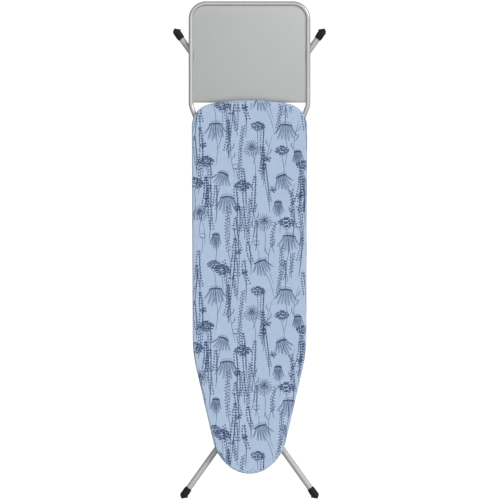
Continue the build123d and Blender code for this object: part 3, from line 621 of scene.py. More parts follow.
# ====================================== board outline ====================================
@dataclass(frozen=True)
class BoardOutline:
    """Outline of the board seen from above, in metres."""

    rear_y: float = 0.4974
    length: float = 1.240
    rear_half: float = 0.1916
    waist_half: float = 0.1885
    taper: float = math.radians(13.0)
    waist_radius: float = 0.480
    crown_radius: float = 0.715
    corner_radius: float = 0.076
    tip_radius: float = 0.106
    shoulder_radius: float = 0.152
    tip_angle: float = math.radians(36.0)
    count: int = 720

    def half_profile(self) -> list[tuple[float, float]]:
        """Dense points of the right half, from the middle of the rear to the nose."""
        corner_x = self.rear_half - self.corner_radius
        span = self.crown_radius - self.corner_radius
        depth = self.crown_radius - math.sqrt(span**2 - corner_x**2)
        crown = math.asin(corner_x / span)
        steep = math.pi / 2 - self.taper
        nose_y = self.rear_y - self.length
        points = [
            (self.crown_radius * math.sin(a), self.rear_y - self.crown_radius * (1 - math.cos(a)))
            for a in np.linspace(0, crown, 60)
        ]
        points += [
            (
                corner_x + self.corner_radius * math.sin(a),
                self.rear_y - depth + self.corner_radius * math.cos(a),
            )
            for a in np.linspace(crown, math.pi / 2, 90)[1:]
        ]
        tip = self.tip_angle
        tip_end = (self.tip_radius * math.sin(tip), nose_y + self.tip_radius * (1 - math.cos(tip)))
        taper_end = (
            tip_end[0] + self.shoulder_radius * (math.sin(steep) - math.sin(tip)),
            tip_end[1] + self.shoulder_radius * (math.cos(tip) - math.cos(steep)),
        )
        waist_y = taper_end[1] + (self.waist_half - taper_end[0]) / math.tan(self.taper)
        waist = Vector((self.waist_half, waist_y))
        start = Vector(points[-1])
        into, away = (waist - start).normalized(), (Vector(taper_end) - waist).normalized()
        turn = into.angle(away)
        reach = self.waist_radius * math.tan(turn / 2)
        first = waist - into * reach
        centre = first + Vector((into.y, -into.x)) * self.waist_radius
        if (centre - waist).dot(away - into) < 0:
            centre = first - Vector((into.y, -into.x)) * self.waist_radius
        begin = first - centre
        for a in np.linspace(0, turn, 50):
            side = -1.0 if into.cross(away) < 0 else 1.0
            cosine, sine = math.cos(side * a), math.sin(side * a)
            points.append(
                (centre.x + begin.x * cosine - begin.y * sine, centre.y + begin.x * sine + begin.y * cosine)
            )
        shoulder_centre = (
            tip_end[0] - self.shoulder_radius * math.sin(tip),
            tip_end[1] + self.shoulder_radius * math.cos(tip),
        )
        points += [
            (
                shoulder_centre[0] + self.shoulder_radius * math.sin(a),
                shoulder_centre[1] - self.shoulder_radius * math.cos(a),
            )
            for a in np.linspace(steep, tip, 70)
        ]
        points += [
            (self.tip_radius * math.sin(a), nose_y + self.tip_radius * (1 - math.cos(a)))
            for a in np.linspace(tip, 0, 60)[1:]
        ]
        return points

    def loop(self) -> tuple[np.ndarray, np.ndarray]:
        """Evenly spaced points of the whole outline and their outward normals.

        Returns:
            The points and the normals, clockwise from the middle of the rear edge.
        """
        right = np.array(self.half_profile())
        left = right[::-1][1:-1] * (-1.0, 1.0)
        closed = np.vstack([right, left, right[:1]])
        steps = np.hypot(*np.diff(closed, axis=0).T)
        run = np.concatenate([[0.0], np.cumsum(steps)])
        even = np.linspace(0, run[-1], self.count, endpoint=False)
        points = np.column_stack([np.interp(even, run, closed[:, axis]) for axis in (0, 1)])
        along = np.roll(points, -2, axis=0) - np.roll(points, 2, axis=0)
        along /= np.hypot(*along.T)[:, None]
        normals = np.column_stack([-along[:, 1], along[:, 0]])
        if float(np.mean(np.sum(points * normals, axis=1))) < 0:
            normals = -normals
        return points, normals


def ring_faces(rings: int, count: int) -> list[tuple[int, int, int, int]]:
    """Faces between consecutive closed rings of points."""
    faces = []
    for ring in range(rings - 1):
        for place in range(count):
            following = (place + 1) % count
            low, high = ring * count, (ring + 1) * count
            faces.append((low + place, high + place, high + following, low + following))
    return faces


@dataclass
class CoverShape:
    """Shape of the stretched cover: a flat top, a rounded edge, a side and a turned hem.

    A flat cloth place is a point of the plan; outside the flat top it is measured along
    the cloth, over the edge and down the side.
    """

    outline: BoardOutline = field(default_factory=BoardOutline)
    top_z: float = 0.0696
    base_z: float = 0.0430
    edge_round: float = 0.0062
    hem_width: float = 0.0190
    margin: float = 0.02
    gather_depth: float = 0.0011
    side_lean: float = 0.0012
    fold: float = 0.0012
    fold_drop: float = 0.0008
    middle_front: float = -0.60
    middle_rear: float = 0.33

    def __post_init__(self) -> None:
        """Sample the outline and build its search tree."""
        self.points, self.normals = self.outline.loop()
        self.inner = self.points - self.normals * self.edge_round
        self.tree = KDTree(len(self.inner))
        for number, point in enumerate(self.inner):
            self.tree.insert((point[0], point[1], 0.0), number)
        self.tree.balance()
        self.arc = self.edge_round * math.pi / 2
        self.side = self.top_z - self.edge_round - self.base_z
        middle_y = np.clip(self.inner[:, 1], self.middle_front, self.middle_rear)
        self.middle = np.column_stack([np.zeros(self.outline.count), middle_y])

    def gather(self, number: float, drop: float) -> float:
        """How far the side stands in or out where the drawcord gathers it."""
        phase = number / self.outline.count * TAU
        waves = math.sin(phase * 61) * 0.5 + math.sin(phase * 97 + 1.3) * 0.3
        waves += math.sin(phase * 151 + 0.4) * 0.2
        return self.gather_depth * waves * drop * drop

    def swell(self, x: float, y: float) -> float:
        """Height of the slow waves that the soft pad leaves in the top."""
        slow = math.sin(31 * x + 9 * y) * math.sin(17 * y - 12 * x + 0.7)
        fine = math.sin(83 * x - 41 * y + 2.0) * math.sin(63 * y + 29 * x)
        return 0.00028 * slow + 0.00007 * fine

    def over_edge(self, number: int, past: float, lift: float = 0.0) -> tuple[float, float, float]:
        """Place on the cloth at a distance past the flat top.

        Args:
            number: Nearest outline point.
            past: Distance along the cloth from the flat top's edge.
            lift: Distance off the cloth.

        Returns:
            The place in the frame.
        """
        base, normal = self.inner[number], self.normals[number]
        centre_z = self.top_z - self.edge_round
        if past <= self.arc:
            angle = past / self.edge_round
            reach = (self.edge_round + lift) * math.sin(angle)
            height = centre_z + (self.edge_round + lift) * math.cos(angle)
        elif past <= self.arc + self.side:
            drop = (past - self.arc) / self.side
            reach = self.edge_round + lift + self.gather(number, drop) - self.side_lean * drop
            height = centre_z - (past - self.arc)
        else:
            under = past - self.arc - self.side
            turned = min(under / self.fold, 1.0)
            gathered = self.gather(number, 1.0) * (1 - min(under / self.hem_width, 1.0))
            reach = self.edge_round - self.side_lean + gathered - max(0.0, under - self.fold)
            height = self.base_z - self.fold_drop * math.sin(turned * math.pi / 2) - lift
        return (base[0] + normal[0] * reach, base[1] + normal[1] * reach, height)

    def place(self, x: float, y: float, lift: float = 0.0) -> tuple[float, float, float] | None:
        """Carry a flat cloth place onto the shape.

        Args:
            x: Cloth place across the board.
            y: Cloth place along the board.
            lift: Distance off the cloth.

        Returns:
            The place in the frame, or None past the hem's fold.
        """
        _, number, _ = self.tree.find((x, y, 0.0))
        offset = np.array((x, y)) - self.inner[number]
        past = float(offset @ self.normals[number])
        if past <= 0:
            return (x, y, self.top_z + self.swell(x, y) * min(1.0, -past / self.margin) + lift)
        if past > self.arc + self.side:
            return None
        return self.over_edge(number, past, lift)


# ======================================= soft pieces =====================================
@dataclass
class Cover:
    """Printed cotton cover, with its hem stitching."""

    finishes: Finishes
    shape: CoverShape = field(default_factory=CoverShape)
    rings: int = 30
    edge_rows: int = 8
    side_rows: int = 16
    hem_steps: tuple[float, ...] = (0.0004, 0.0008, 0.0012, 0.006, 0.012)
    thickness: float = 0.0007
    stitch_pitch: float = 0.0042
    stitch_width: float = 0.00035
    stitch_rise: float = 0.0035

    def build(self) -> bpy.types.Object:
        """Build the cloth.

        Returns:
            The cloth as one closed piece.
        """
        shape, count = self.shape, self.shape.outline.count
        places: list[tuple[float, float, float]] = []
        flat: list[tuple[float, float]] = []
        middle = shape.middle
        for share in np.linspace(0.0, 1.0, self.rings):
            for number in range(count):
                x, y = middle[number] + (shape.inner[number] - middle[number]) * share
                near = min(1.0, float(np.hypot(*(shape.inner[number] - (x, y)))) / shape.margin)
                places.append((x, y, shape.top_z + shape.swell(x, y) * near))
                flat.append((x, y))
        down = list(np.linspace(0, shape.arc, self.edge_rows)[1:])
        down += list(shape.arc + np.linspace(0, shape.side, self.side_rows)[1:])
        down += [shape.arc + shape.side + step for step in (*self.hem_steps, shape.hem_width)]
        for past in down:
            for number in range(count):
                places.append(shape.over_edge(number, past))
                flat.append(tuple(shape.inner[number] + shape.normals[number] * past))
        total = self.rings + len(down)
        cloth = mesh_piece("PrintedCover", np.array(places), ring_faces(total, count), np.array(flat))
        face_outwards(cloth, MERGE_DISTANCE)
        apply_modifier(cloth, "SOLIDIFY", thickness=self.thickness, offset=-1.0)
        return complete(cloth, "PrintedCover", self.finishes.cotton, 60)

    def stitches(self) -> bpy.types.Object:
        """Build the row of stitches along the hem's fold.

        Returns:
            All stitches as one piece.
        """
        shape = self.shape
        row = shape.arc + shape.side - self.stitch_rise
        length = float(np.sum(np.hypot(*np.diff(np.vstack([shape.points, shape.points[:1]]), axis=0).T)))
        number_of = int(length / self.stitch_pitch)
        ink = InkSheet("HemStitches", shape, lift=0.00018)
        for stitch in range(number_of):
            places = []
            for part in (0.12, 0.5, 0.88):
                run = (stitch + part) / number_of * shape.outline.count
                number = int(run) % shape.outline.count
                following = (number + 1) % shape.outline.count
                blend = run - int(run)
                first = shape.over_edge(number, row, 0.0002)
                second = shape.over_edge(following, row, 0.0002)
                places.append(tuple(a + (b - a) * blend for a, b in zip(first, second)))
            ink.strip_in_space(places, self.stitch_width)
        return ink.finish(self.finishes.thread)


@dataclass
class Pad:
    """Felt pad under the cover, seen from below through the steel mesh."""

    finishes: Finishes
    shape: CoverShape = field(default_factory=CoverShape)
    base_z: float = 0.0612
    side_z: float = 0.0640
    top_z: float = 0.0686
    inset: float = 0.0013
    edge_round: float = 0.0045
    ripple: float = 0.0003

    def build(self) -> bpy.types.Object:
        """Build the pad.

        Returns:
            The pad as one closed piece.
        """
        shape, count = self.shape, self.shape.outline.count
        places = []
        rows = [(0.26, self.base_z), (0.05, self.base_z), (0.0028, self.base_z)]
        rows += [(0.0016, 0.0618), (self.inset, self.side_z)]
        rows += [
            (self.inset + self.edge_round * (1 - math.cos(a)), self.side_z + self.edge_round * math.sin(a))
            for a in np.linspace(0.3, math.pi / 2, 8)
        ]
        rows += [(0.012, self.top_z), (0.05, self.top_z), (0.26, self.top_z)]
        middle = shape.middle
        for inset, height in rows:
            for number in range(count):
                point = shape.points[number] - shape.normals[number] * min(inset, 0.03)
                if inset > 0.03:
                    point = middle[number] + (point - middle[number]) * (0.0 if inset > 0.2 else 0.7)
                wave = self.ripple * math.sin(number * 0.9) * (1.0 if 0.001 < inset < 0.006 else 0.0)
                places.append((point[0], point[1], height + wave))
        pad = mesh_piece("FeltPad", np.array(places), ring_faces(len(rows), count))
        face_outwards(pad, MERGE_DISTANCE)
        return complete(pad, "FeltPad", self.finishes.felt, 50)


# ========================================== print ========================================
Flat = tuple[float, float]


@dataclass
class InkSheet:
    """Collects ink strokes and lays them on the cover as one piece."""

    name: str
    shape: CoverShape
    lift: float = 0.00012
    weight: float = 1.35
    points: list[tuple[float, float, float]] = field(default_factory=list)
    cloth: list[Flat] = field(default_factory=list)
    faces: list[tuple[int, ...]] = field(default_factory=list)

    def strip_in_space(self, path: Sequence[Sequence[float]], width: float) -> None:
        """Add a flat strip along places that already lie on the cloth's side."""
        start = len(self.points)
        for place in path:
            for side in (-0.5, 0.5):
                self.points.append((place[0], place[1], place[2] + side * width))
                self.cloth.append((place[0], place[1] + side * width))
        for number in range(len(path) - 1):
            corner = start + 2 * number
            self.faces.append((corner, corner + 2, corner + 3, corner + 1))

    def stroke(self, path: Sequence[Flat], width: float, taper: float = 0.35) -> None:
        """Add a brush stroke along a flat path, thinner at both ends.

        Args:
            path: Places on the flat cloth.
            width: Width in the middle of the stroke.
            taper: Width at the ends, as a share of the middle.
        """
        line = np.array(path, dtype=float)
        if len(line) < 2:
            return
        along = np.gradient(line, axis=0)
        long = np.hypot(*along.T)
        long[long == 0] = 1.0
        across = np.column_stack([-along[:, 1], along[:, 0]]) / long[:, None]
        shares = np.linspace(0, 1, len(line))
        widths = self.weight * width * (taper + (1 - taper) * np.sin(shares * math.pi) ** 0.6)
        edges = (line - across * widths[:, None] / 2, line + across * widths[:, None] / 2)
        row: list[int] = []
        for left, right in zip(*edges):
            pair = [self.shape.place(float(x), float(y), self.lift) for x, y in (left, right)]
            if any(place is None for place in pair):
                row = []
                continue
            start = len(self.points)
            self.points += pair
            self.cloth += [tuple(left), tuple(right)]
            if row:
                self.faces.append((row[0], start, start + 1, row[1]))
            row = [start, start + 1]

    def blot(self, centre: Flat, wide: float, tall: float, turn: float = 0.0, corners: int = 7) -> None:
        """Add a filled oval blot of ink.

        Args:
            centre: Place on the flat cloth.
            wide: Width of the oval.
            tall: Height of the oval.
            turn: Turn in radians.
            corners: Number of corners.
        """
        cosine, sine = math.cos(turn), math.sin(turn)
        placed, flat = [], []
        for number in range(corners):
            angle = TAU * number / corners
            u, v = wide / 2 * math.cos(angle), tall / 2 * math.sin(angle)
            x, y = centre[0] + u * cosine - v * sine, centre[1] + u * sine + v * cosine
            place = self.shape.place(x, y, self.lift)
            if place is None:
                return
            placed.append(place)
            flat.append((x, y))
        start = len(self.points)
        self.points += placed
        self.cloth += flat
        self.faces.append(tuple(range(start, start + corners)))

    def finish(self, material: bpy.types.Material) -> bpy.types.Object:
        """Make the piece.

        Args:
            material: Ink or thread.

        Returns:
            The strokes as one piece.
        """
        made = mesh_piece(self.name, np.array(self.points), self.faces, np.array(self.cloth))
        log.info("%s: %d faces", self.name, len(self.faces))
        return complete(made, self.name, material)


def curve(start: Flat, end: Flat, bow: float, steps: int = 12) -> list[Flat]:
    """Points of a gently bowed line.

    Args:
        start: First place.
        end: Last place.
        bow: Sideways swing in the middle.
        steps: Number of points.

    Returns:
        The points.
    """
    dx, dy = end[0] - start[0], end[1] - start[1]
    length = math.hypot(dx, dy) or 1.0
    made = []
    for share in np.linspace(0, 1, steps):
        swing = bow * math.sin(share * math.pi)
        u = start[0] + dx * share - dy / length * swing
        made.append((u, start[1] + dy * share + dx / length * swing))
    return made


@dataclass(frozen=True)
class Motif:
    """One drawn plant or insect: where it stands, how large and how far it leans."""

    x: float
    y: float
    size: float = 1.0
    lean: float = 0.0
    pen: random.Random = field(default_factory=lambda: random.Random(SEED))

    def at(self, u: float, v: float) -> Flat:
        """Carry a place in the motif's own drawing onto the flat cloth."""
        cosine, sine = math.cos(self.lean), math.sin(self.lean)
        u, v = u * self.size, v * self.size
        return (self.x + u * cosine - v * sine, self.y + u * sine + v * cosine)

    def path(self, points: Iterable[Flat]) -> list[Flat]:
        """Carry a path in the motif's own drawing onto the flat cloth."""
        return [self.at(u, v) for u, v in points]


class Lavender(Motif):
    """Upright spike of small dark buds above a thin stem."""

    WHORL = 0.0082
    BUD = (0.0044, 0.0074)

    def draw(self, ink: InkSheet, length: float, stem: float) -> None:
        """Draw the spike.

        Args:
            ink: Where the strokes go.
            length: Length of the flowering part.
            stem: Length of bare stem below it.
        """
        pen = self.pen
        rows = int(length / self.WHORL)
        sway = pen.uniform(-0.014, 0.014)
        for row in range(rows):
            share = row / rows
            middle = sway * math.sin(share * 2.2)
            half = 0.0050 * math.sin(min(1.0, (1 - share) * 2.2 + 0.25) * math.pi / 2)
            for side in (-1, 1):
                across = middle + side * half * pen.uniform(0.85, 1.15)
                spot = (across, share * length + pen.uniform(-0.0007, 0.0007))
                turn = self.lean - side * pen.uniform(0.6, 1.0)
                ink.blot(self.at(*spot), self.BUD[0] * self.size, self.BUD[1] * self.size, turn, 6)
        ink.stroke(self.path(curve((middle, length), (sway * 0.6, -stem), 0.004, 16)), 0.0020, 0.4)


class SeedSpike(Motif):
    """Tall dry spike: pairs of little round seed cases up a bare stalk."""

    SPACING = 0.0088
    CASE = (0.0046, 0.0058)

    def draw(self, ink: InkSheet, length: float) -> None:
        """Draw the spike.

        Args:
            ink: Where the strokes go.
            length: Length of the stalk.
        """
        pen = self.pen
        tip = (pen.uniform(-0.012, 0.012), length)
        stalk = curve((0, 0), tip, pen.uniform(-0.010, 0.010), max(6, int(length / self.SPACING)))
        ink.stroke(self.path(stalk), 0.0017, 0.7)
        for number, (u, v) in enumerate(stalk[2:]):
            for side in (-1, 1):
                reach = 0.0048 + 0.0010 * math.sin(number * 1.7)
                spot = (u + side * reach, v + 0.0040 * (side > 0))
                ink.blot(self.at(*spot), *self.CASE, self.lean + side * 0.6, 6)


class Coneflower(Motif):
    """Daisy with a dark jagged crown, a pale dome and long drooping petals."""

    def draw(
        self, ink: InkSheet, wash: InkSheet, width: float = 0.040, fall: float = 0.056, flare: float = 0.72
    ) -> None:
        """Draw the flower.

        Args:
            ink: Where the dark strokes go.
            wash: Where the pale fill goes.
            width: Width of the crown.
            fall: Length of the petals.
            flare: How far the outer tips swing apart, as a share of that length.
        """
        pen = self.pen
        half = width / 2
        sweep = np.linspace(0.05, math.pi - 0.05, 22)
        dome = [(half * 0.86 * math.cos(a), 0.002 + 0.0058 * math.sin(a)) for a in sweep]
        ink.stroke(self.path(dome), 0.0009, 0.8)
        for number in range(9):
            spot = self.at(half * (0.17 * number - 0.68), 0.0040 + 0.0016 * (number % 2))
            ink.blot(spot, 0.0010, 0.0010, 0.0, 5)
        teeth = 9
        for tooth in range(teeth):
            share = tooth / (teeth - 1)
            u = -half + width * share
            v = -0.0035 * abs(2 * share - 1) ** 2 + 0.0005
            long = pen.uniform(0.0060, 0.0095)
            notch = [(u - 0.0004, v + 0.0016), (u, v - long / 2), (u + 0.0006, v - long)]
            ink.stroke(self.path(notch), 0.0028, 0.5)
        rim = [(-half + width * s, -0.0035 * abs(2 * s - 1) ** 2) for s in np.linspace(0, 1, 16)]
        ink.stroke(self.path(rim), 0.0030, 0.7)
        petals = 7
        for petal in range(petals):
            share = petal / (petals - 1)
            u = -half * 0.94 + width * 0.94 * share
            spread = (share - 0.5) * fall * flare
            long = fall * (1.0 - 0.42 * abs(2 * share - 1) ** 2) * pen.uniform(0.82, 1.04)
            root = -0.0045 - 0.003 * abs(2 * share - 1)
            self._petal(ink, wash, u, root, spread, long, width / petals * 1.25)
        stem = curve((0, -0.030), (pen.uniform(-0.01, 0.01), -fall - 0.085), 0.006, 16)
        ink.stroke(self.path(stem), 0.0010, 0.7)

    def _petal(
        self, ink: InkSheet, wash: InkSheet, u: float, top: float, spread: float, long: float, wide: float
    ) -> None:
        """Draw one petal.

        Args:
            ink: Where the dark strokes go.
            wash: Where the pale fill goes.
            u: Where the petal begins, across.
            top: Where it begins, upwards.
            spread: How far its tip swings out.
            long: Its length.
            wide: Its width.
        """
        def spine(share: float) -> Flat:
            """Middle of the petal at a share of its length."""
            return (u + spread * share**1.25, top - long * share)

        for side in (-1, 1):
            edge = []
            for share in np.linspace(0.04, 1, 12):
                belly = wide / 2 * (0.3 + 0.8 * share) * math.sqrt(max(0.0, 1 - share**4))
                x, y = spine(share)
                edge.append((x + side * belly, y))
            ink.stroke(self.path(edge), 0.0008, 0.8)
        vein = [spine(share) for share in np.linspace(0.16, self.pen.uniform(0.45, 0.8), 7)]
        ink.stroke(self.path(vein), 0.0006, 0.6)
        fill = [spine(share) for share in np.linspace(0.03, 0.90, 9)]
        wash.stroke(self.path(fill), wide * 0.66 * self.size, 0.7)


class Umbel(Motif):
    """Flat-topped head of dark dots over a few fine rays."""

    def draw(self, ink: InkSheet, width: float = 0.052, height: float = 0.028, stem: float = 0.11) -> None:
        """Draw the head.

        Args:
            ink: Where the strokes go.
            width: Width of the head.
            height: Height of the domed dots.
            stem: Length of the stem.
        """
        pen = self.pen
        root = (0.0, -height * 0.9)
        for ray in range(3):
            share = ray / 2
            tip = ((share - 0.5) * width * 0.60, -height * 0.30)
            ink.stroke(self.path(curve(root, tip, 0.0022 * (0.5 - share), 8)), 0.0009, 0.6)
        rows = (
            (0.46, 0.16, 5), (0.28, 0.38, 8), (0.08, 0.48, 10),
            (-0.12, 0.50, 10), (-0.32, 0.42, 8), (-0.52, 0.20, 4),
        )
        for level, reach, seeds in rows:
            for seed in range(seeds):
                share = 2 * (seed + pen.uniform(0.2, 0.8)) / seeds - 1
                spot = (width * reach * share, height * (level + pen.uniform(-0.06, 0.06)))
                turn = self.lean - share * 0.9 + pen.uniform(-0.5, 0.5)
                ink.blot(self.at(*spot), 0.0066 * self.size, 0.0048 * self.size, turn, 7)
        foot = (pen.uniform(-0.012, 0.012), -height - stem)
        ink.stroke(self.path(curve(root, foot, 0.008, 18)), 0.0012, 0.8)


class FanFlower(Motif):
    """Flower seen from the side, fine rays above a dark heart and round petals below."""

    def draw(self, ink: InkSheet, reach: float = 0.027) -> None:
        """Draw the flower.

        Args:
            ink: Where the strokes go.
            reach: Length of the rays.
        """
        pen = self.pen
        petals = 9
        for petal in range(petals):
            angle = -math.pi * (0.08 + 0.84 * petal / (petals - 1))
            long = reach * (1.0 + 0.35 * abs(math.sin(angle))) * pen.uniform(0.9, 1.06)
            tip = (long * math.cos(angle), long * math.sin(angle))
            side = (-math.sin(angle), math.cos(angle))
            for swing in (-1, 1):
                line = []
                for share in np.linspace(0.25, 1, 10):
                    belly = 0.0034 * math.sin(share * 2.9) ** 0.8 * swing if share < 1 else 0.0
                    line.append((tip[0] * share + side[0] * belly, tip[1] * share + side[1] * belly))
                ink.stroke(self.path(line), 0.0011, 0.7)
        for ray in range(16):
            angle = TAU * ray / 16 + pen.uniform(-0.05, 0.05)
            long = reach * pen.uniform(0.55, 0.85) * (1.0 if math.sin(angle) > 0 else 0.6)
            tip = (long * math.cos(angle), long * math.sin(angle))
            ink.stroke(self.path([(tip[0] * s, tip[1] * s) for s in (0.15, 0.5, 1.0)]), 0.0015, 0.5)
            if math.sin(angle) > 0:
                ink.blot(self.at(*tip), 0.0030, 0.0030, 0.0, 6)
        for _ in range(14):
            angle, away = pen.uniform(0, TAU), pen.uniform(0, 0.0048)
            ink.blot(self.at(away * math.cos(angle), away * math.sin(angle)), 0.0026, 0.0022, angle, 6)
        ink.stroke(self.path(curve((0, -0.020), (0.004, -reach - 0.085), 0.005, 14)), 0.0010, 0.8)


class Butterfly(Motif):
    """Small butterfly drawn with thin lines and a few dark spots."""

    def draw(self, ink: InkSheet) -> None:
        """Draw the insect."""
        for side in (-1, 1):
            for reach, low, high, tall in ((0.0125, 0.15, 1.15, 0.010), (0.0095, -1.05, -0.05, 0.008)):
                wing = []
                for share in np.linspace(0, 1, 13):
                    angle = low + (high - low) * share
                    away = reach * math.sin(share * math.pi) ** 0.55
                    wing.append((side * away * math.cos(angle), away * math.sin(angle) + tall * 0.1))
                ink.stroke(self.path(wing), 0.0015, 0.7)
                for spot in (0.45, 0.62, 0.78):
                    angle = low + (high - low) * spot
                    u, v = side * reach * 0.72 * math.cos(angle), reach * 0.72 * math.sin(angle)
                    ink.blot(self.at(u, v), 0.0026, 0.0020, angle, 6)
            feeler = curve((0, 0.006), (side * 0.004, 0.0125), 0.0012 * side, 6)
            ink.stroke(self.path(feeler), 0.0006)
        ink.stroke(self.path([(0, 0.006), (0, 0.0), (0, -0.007)]), 0.0019, 0.4)


class BracketFlower(Motif):
    """Tiny cupped flower of a few dots over a short curved calyx."""

    def draw(self, ink: InkSheet) -> None:
        """Draw the flower."""
        sweep = np.linspace(math.pi * 1.05, TAU * 0.975, 10)
        cup = [(0.008 * math.cos(a), 0.006 + 0.006 * math.sin(a)) for a in sweep]
        ink.stroke(self.path(cup), 0.0020, 0.7)
        for dot in range(7):
            angle = math.pi * (0.1 + 0.8 * dot / 6)
            spot = self.at(0.009 * math.cos(angle), 0.008 + 0.006 * math.sin(angle))
            ink.blot(spot, 0.0029, 0.0029, 0.0, 6)
        ink.stroke(self.path(curve((0, 0), (0.003, -0.055), 0.004, 10)), 0.0010, 0.8)


class Bent(Motif):
    """Long thin bent stem with a few narrow leaves."""

    def draw(self, ink: InkSheet, length: float = 0.16) -> None:
        """Draw the stem."""
        bow = self.pen.uniform(-0.02, 0.02)
        line = curve((0, 0), (self.pen.uniform(-0.02, 0.02), -length), bow, 22)
        ink.stroke(self.path(line), 0.0011, 0.5)
        for place in (5, 9, 13):
            root = line[place]
            side = -1 if self.pen.random() < 0.5 else 1
            leaf = curve(root, (root[0] + side * 0.012, root[1] + 0.026), -side * 0.004, 9)
            ink.stroke(self.path(leaf), 0.0017, 0.2)


@dataclass
class Print:
    """The cover's garden print, drawn once for a repeat and run along the cloth."""

    finishes: Finishes
    shape: CoverShape
    repeat: float = 0.547
    columns: int = 18
    first_column: float = -0.205
    column_pitch: float = 0.0242
    start_y: float = -0.05
    lavender_share: float = 0.62
    specks: int = 70
    pair_drop: float = 0.150
    petal_fall: float = 0.056
    petal_rise: float = 0.012
    petal_half: float = 0.026

    umbels: tuple[Flat, ...] = (
        (0.028, 0.413), (-0.144, 0.296), (0.108, 0.332), (0.178, 0.283), (-0.022, 0.215),
        (-0.180, 0.224), (0.123, 0.092), (-0.117, -0.048), (-0.089, 0.482),
    )
    cones: tuple[tuple[float, float, float, float], ...] = (
        (-0.113, 0.421, 1.0, 0.03), (0.121, 0.417, 1.0, -0.04), (-0.076, 0.178, 1.05, 0.05),
        (0.132, 0.049, 1.0, -0.05), (-0.085, 0.256, 0.85, -0.35), (0.104, 0.248, 0.85, 0.35),
        (0.036, -0.035, 0.9, 0.3),
    )
    small_cones: tuple[Flat, ...] = ((0.160, 0.328), (0.095, 0.161), (-0.111, 0.053))
    fans: tuple[Flat, ...] = ((0.008, 0.345), (0.049, 0.100), (-0.165, 0.130))
    butterflies: tuple[tuple[float, float, float], ...] = (
        (-0.152, 0.345, 0.4), (0.077, 0.198, -0.5), (-0.037, -0.009, 0.3),
        (-0.017, 0.471, -0.3), (0.17, 0.18, 0.6),
        (-0.040, 0.135, 0.2), (0.060, 0.300, -0.2),
    )
    brackets: tuple[Flat, ...] = (
        (-0.046, 0.269), (0.045, 0.269), (-0.050, 0.068), (0.023, 0.016), (-0.157, 0.040), (0.110, -0.050),
        (-0.170, 0.268), (0.165, 0.075),
    )
    bents: tuple[Flat, ...] = (
        (-0.06, 0.40), (0.075, 0.38), (0.15, 0.22), (-0.13, 0.20), (0.0, 0.17), (0.085, 0.05), (-0.07, 0.0),
        (0.165, 0.43), (-0.175, 0.42),
    )

    def _free(self, x: float, y: float, length: float) -> bool:
        """Whether a spike keeps clear of the daisies' petals and the fan flowers.

        Args:
            x: Place of the spike across the repeat.
            y: Place of its foot along the repeat.
            length: Its length.

        Returns:
            True if there is room for it.
        """
        flowers = [(place[0], place[1]) for place in self.cones] + list(self.small_cones) + list(self.fans)
        for flower_x, flower_y in flowers:
            for turn in (-self.repeat, 0.0, self.repeat):
                low, high = flower_y + turn - self.petal_fall, flower_y + turn + self.petal_rise
                if abs(x - flower_x) < self.petal_half and y + length > low and y < high:
                    return False
        return True

    def build(self) -> list[bpy.types.Object]:
        """Draw the whole print.

        Returns:
            One piece for each kind of plant, and the pale fill under the petals.
        """
        sheets = {
            kind: InkSheet(f"Print{kind}", self.shape, lift=0.00014)
            for kind in (
                "Lavender", "SeedSpikes", "Coneflowers", "Umbels", "FanFlowers", "Butterflies", "Stems",
            )
        }
        wash = InkSheet("PrintPetalFill", self.shape, lift=0.00008)
        for tile in (1, 0, -1, -2):
            shift = tile * self.repeat
            pen = random.Random(SEED)
            for x, y in self.umbels:
                umbel = Umbel(x, y + shift, pen.uniform(0.85, 1.1), pen.uniform(-0.1, 0.1), pen)
                umbel.draw(sheets["Umbels"])
                for side in (-1, 1):
                    place = (x + side * 0.009, y + shift - self.pair_drop, 1.0, side * pen.uniform(0.0, 0.05))
                    long = pen.uniform(0.08, 0.12)
                    if self._free(place[0], y - self.pair_drop, long):
                        Lavender(*place, pen).draw(sheets["Lavender"], long, 0.03)
            for x, y, size, lean in self.cones:
                Coneflower(x, y + shift, size, lean, pen).draw(sheets["Coneflowers"], wash)
            for x, y in self.small_cones:
                flower = Coneflower(x, y + shift, 0.62, pen.uniform(-0.1, 0.1), pen)
                flower.draw(sheets["Coneflowers"], wash, width=0.036, fall=0.082, flare=0.32)
            for x, y in self.fans:
                FanFlower(x, y + shift, 1.0, pen.uniform(-0.15, 0.15), pen).draw(sheets["FanFlowers"])
            for x, y, lean in self.butterflies:
                Butterfly(x, y + shift, 1.0, lean, pen).draw(sheets["Butterflies"])
            for x, y in self.brackets:
                BracketFlower(x, y + shift, 1.1, pen.uniform(-0.3, 0.3), pen).draw(sheets["Stems"])
            for x, y in self.bents:
                Bent(x, y + shift, 1.0, pen.uniform(-0.2, 0.2), pen).draw(sheets["Stems"])
            for column in range(self.columns):
                x = self.first_column + self.column_pitch * column
                y = shift + self.start_y + pen.uniform(0.0, 0.08)
                while y < shift + self.start_y + self.repeat:
                    length = pen.uniform(0.06, 0.15)
                    across = x + pen.uniform(-0.010, 0.010)
                    place = (across, y, pen.uniform(0.85, 1.1), pen.uniform(-0.09, 0.09))
                    kind = pen.random()
                    if self._free(place[0], y - shift, length):
                        if kind < self.lavender_share:
                            Lavender(*place, pen).draw(sheets["Lavender"], length, pen.uniform(0.03, 0.07))
                        else:
                            SeedSpike(*place, pen).draw(sheets["SeedSpikes"], length * 1.4)
                    y += length + pen.uniform(0.005, 0.030)
            for _ in range(self.specks):
                spot = (pen.uniform(-0.20, 0.20), shift + self.start_y + pen.uniform(0, self.repeat))
                sheets["Stems"].blot(spot, 0.0020, 0.0015, pen.uniform(0, 3), 6)
        made = [sheet.finish(self.finishes.ink) for sheet in sheets.values()]
        made.append(wash.finish(self.finishes.wash))
        return made


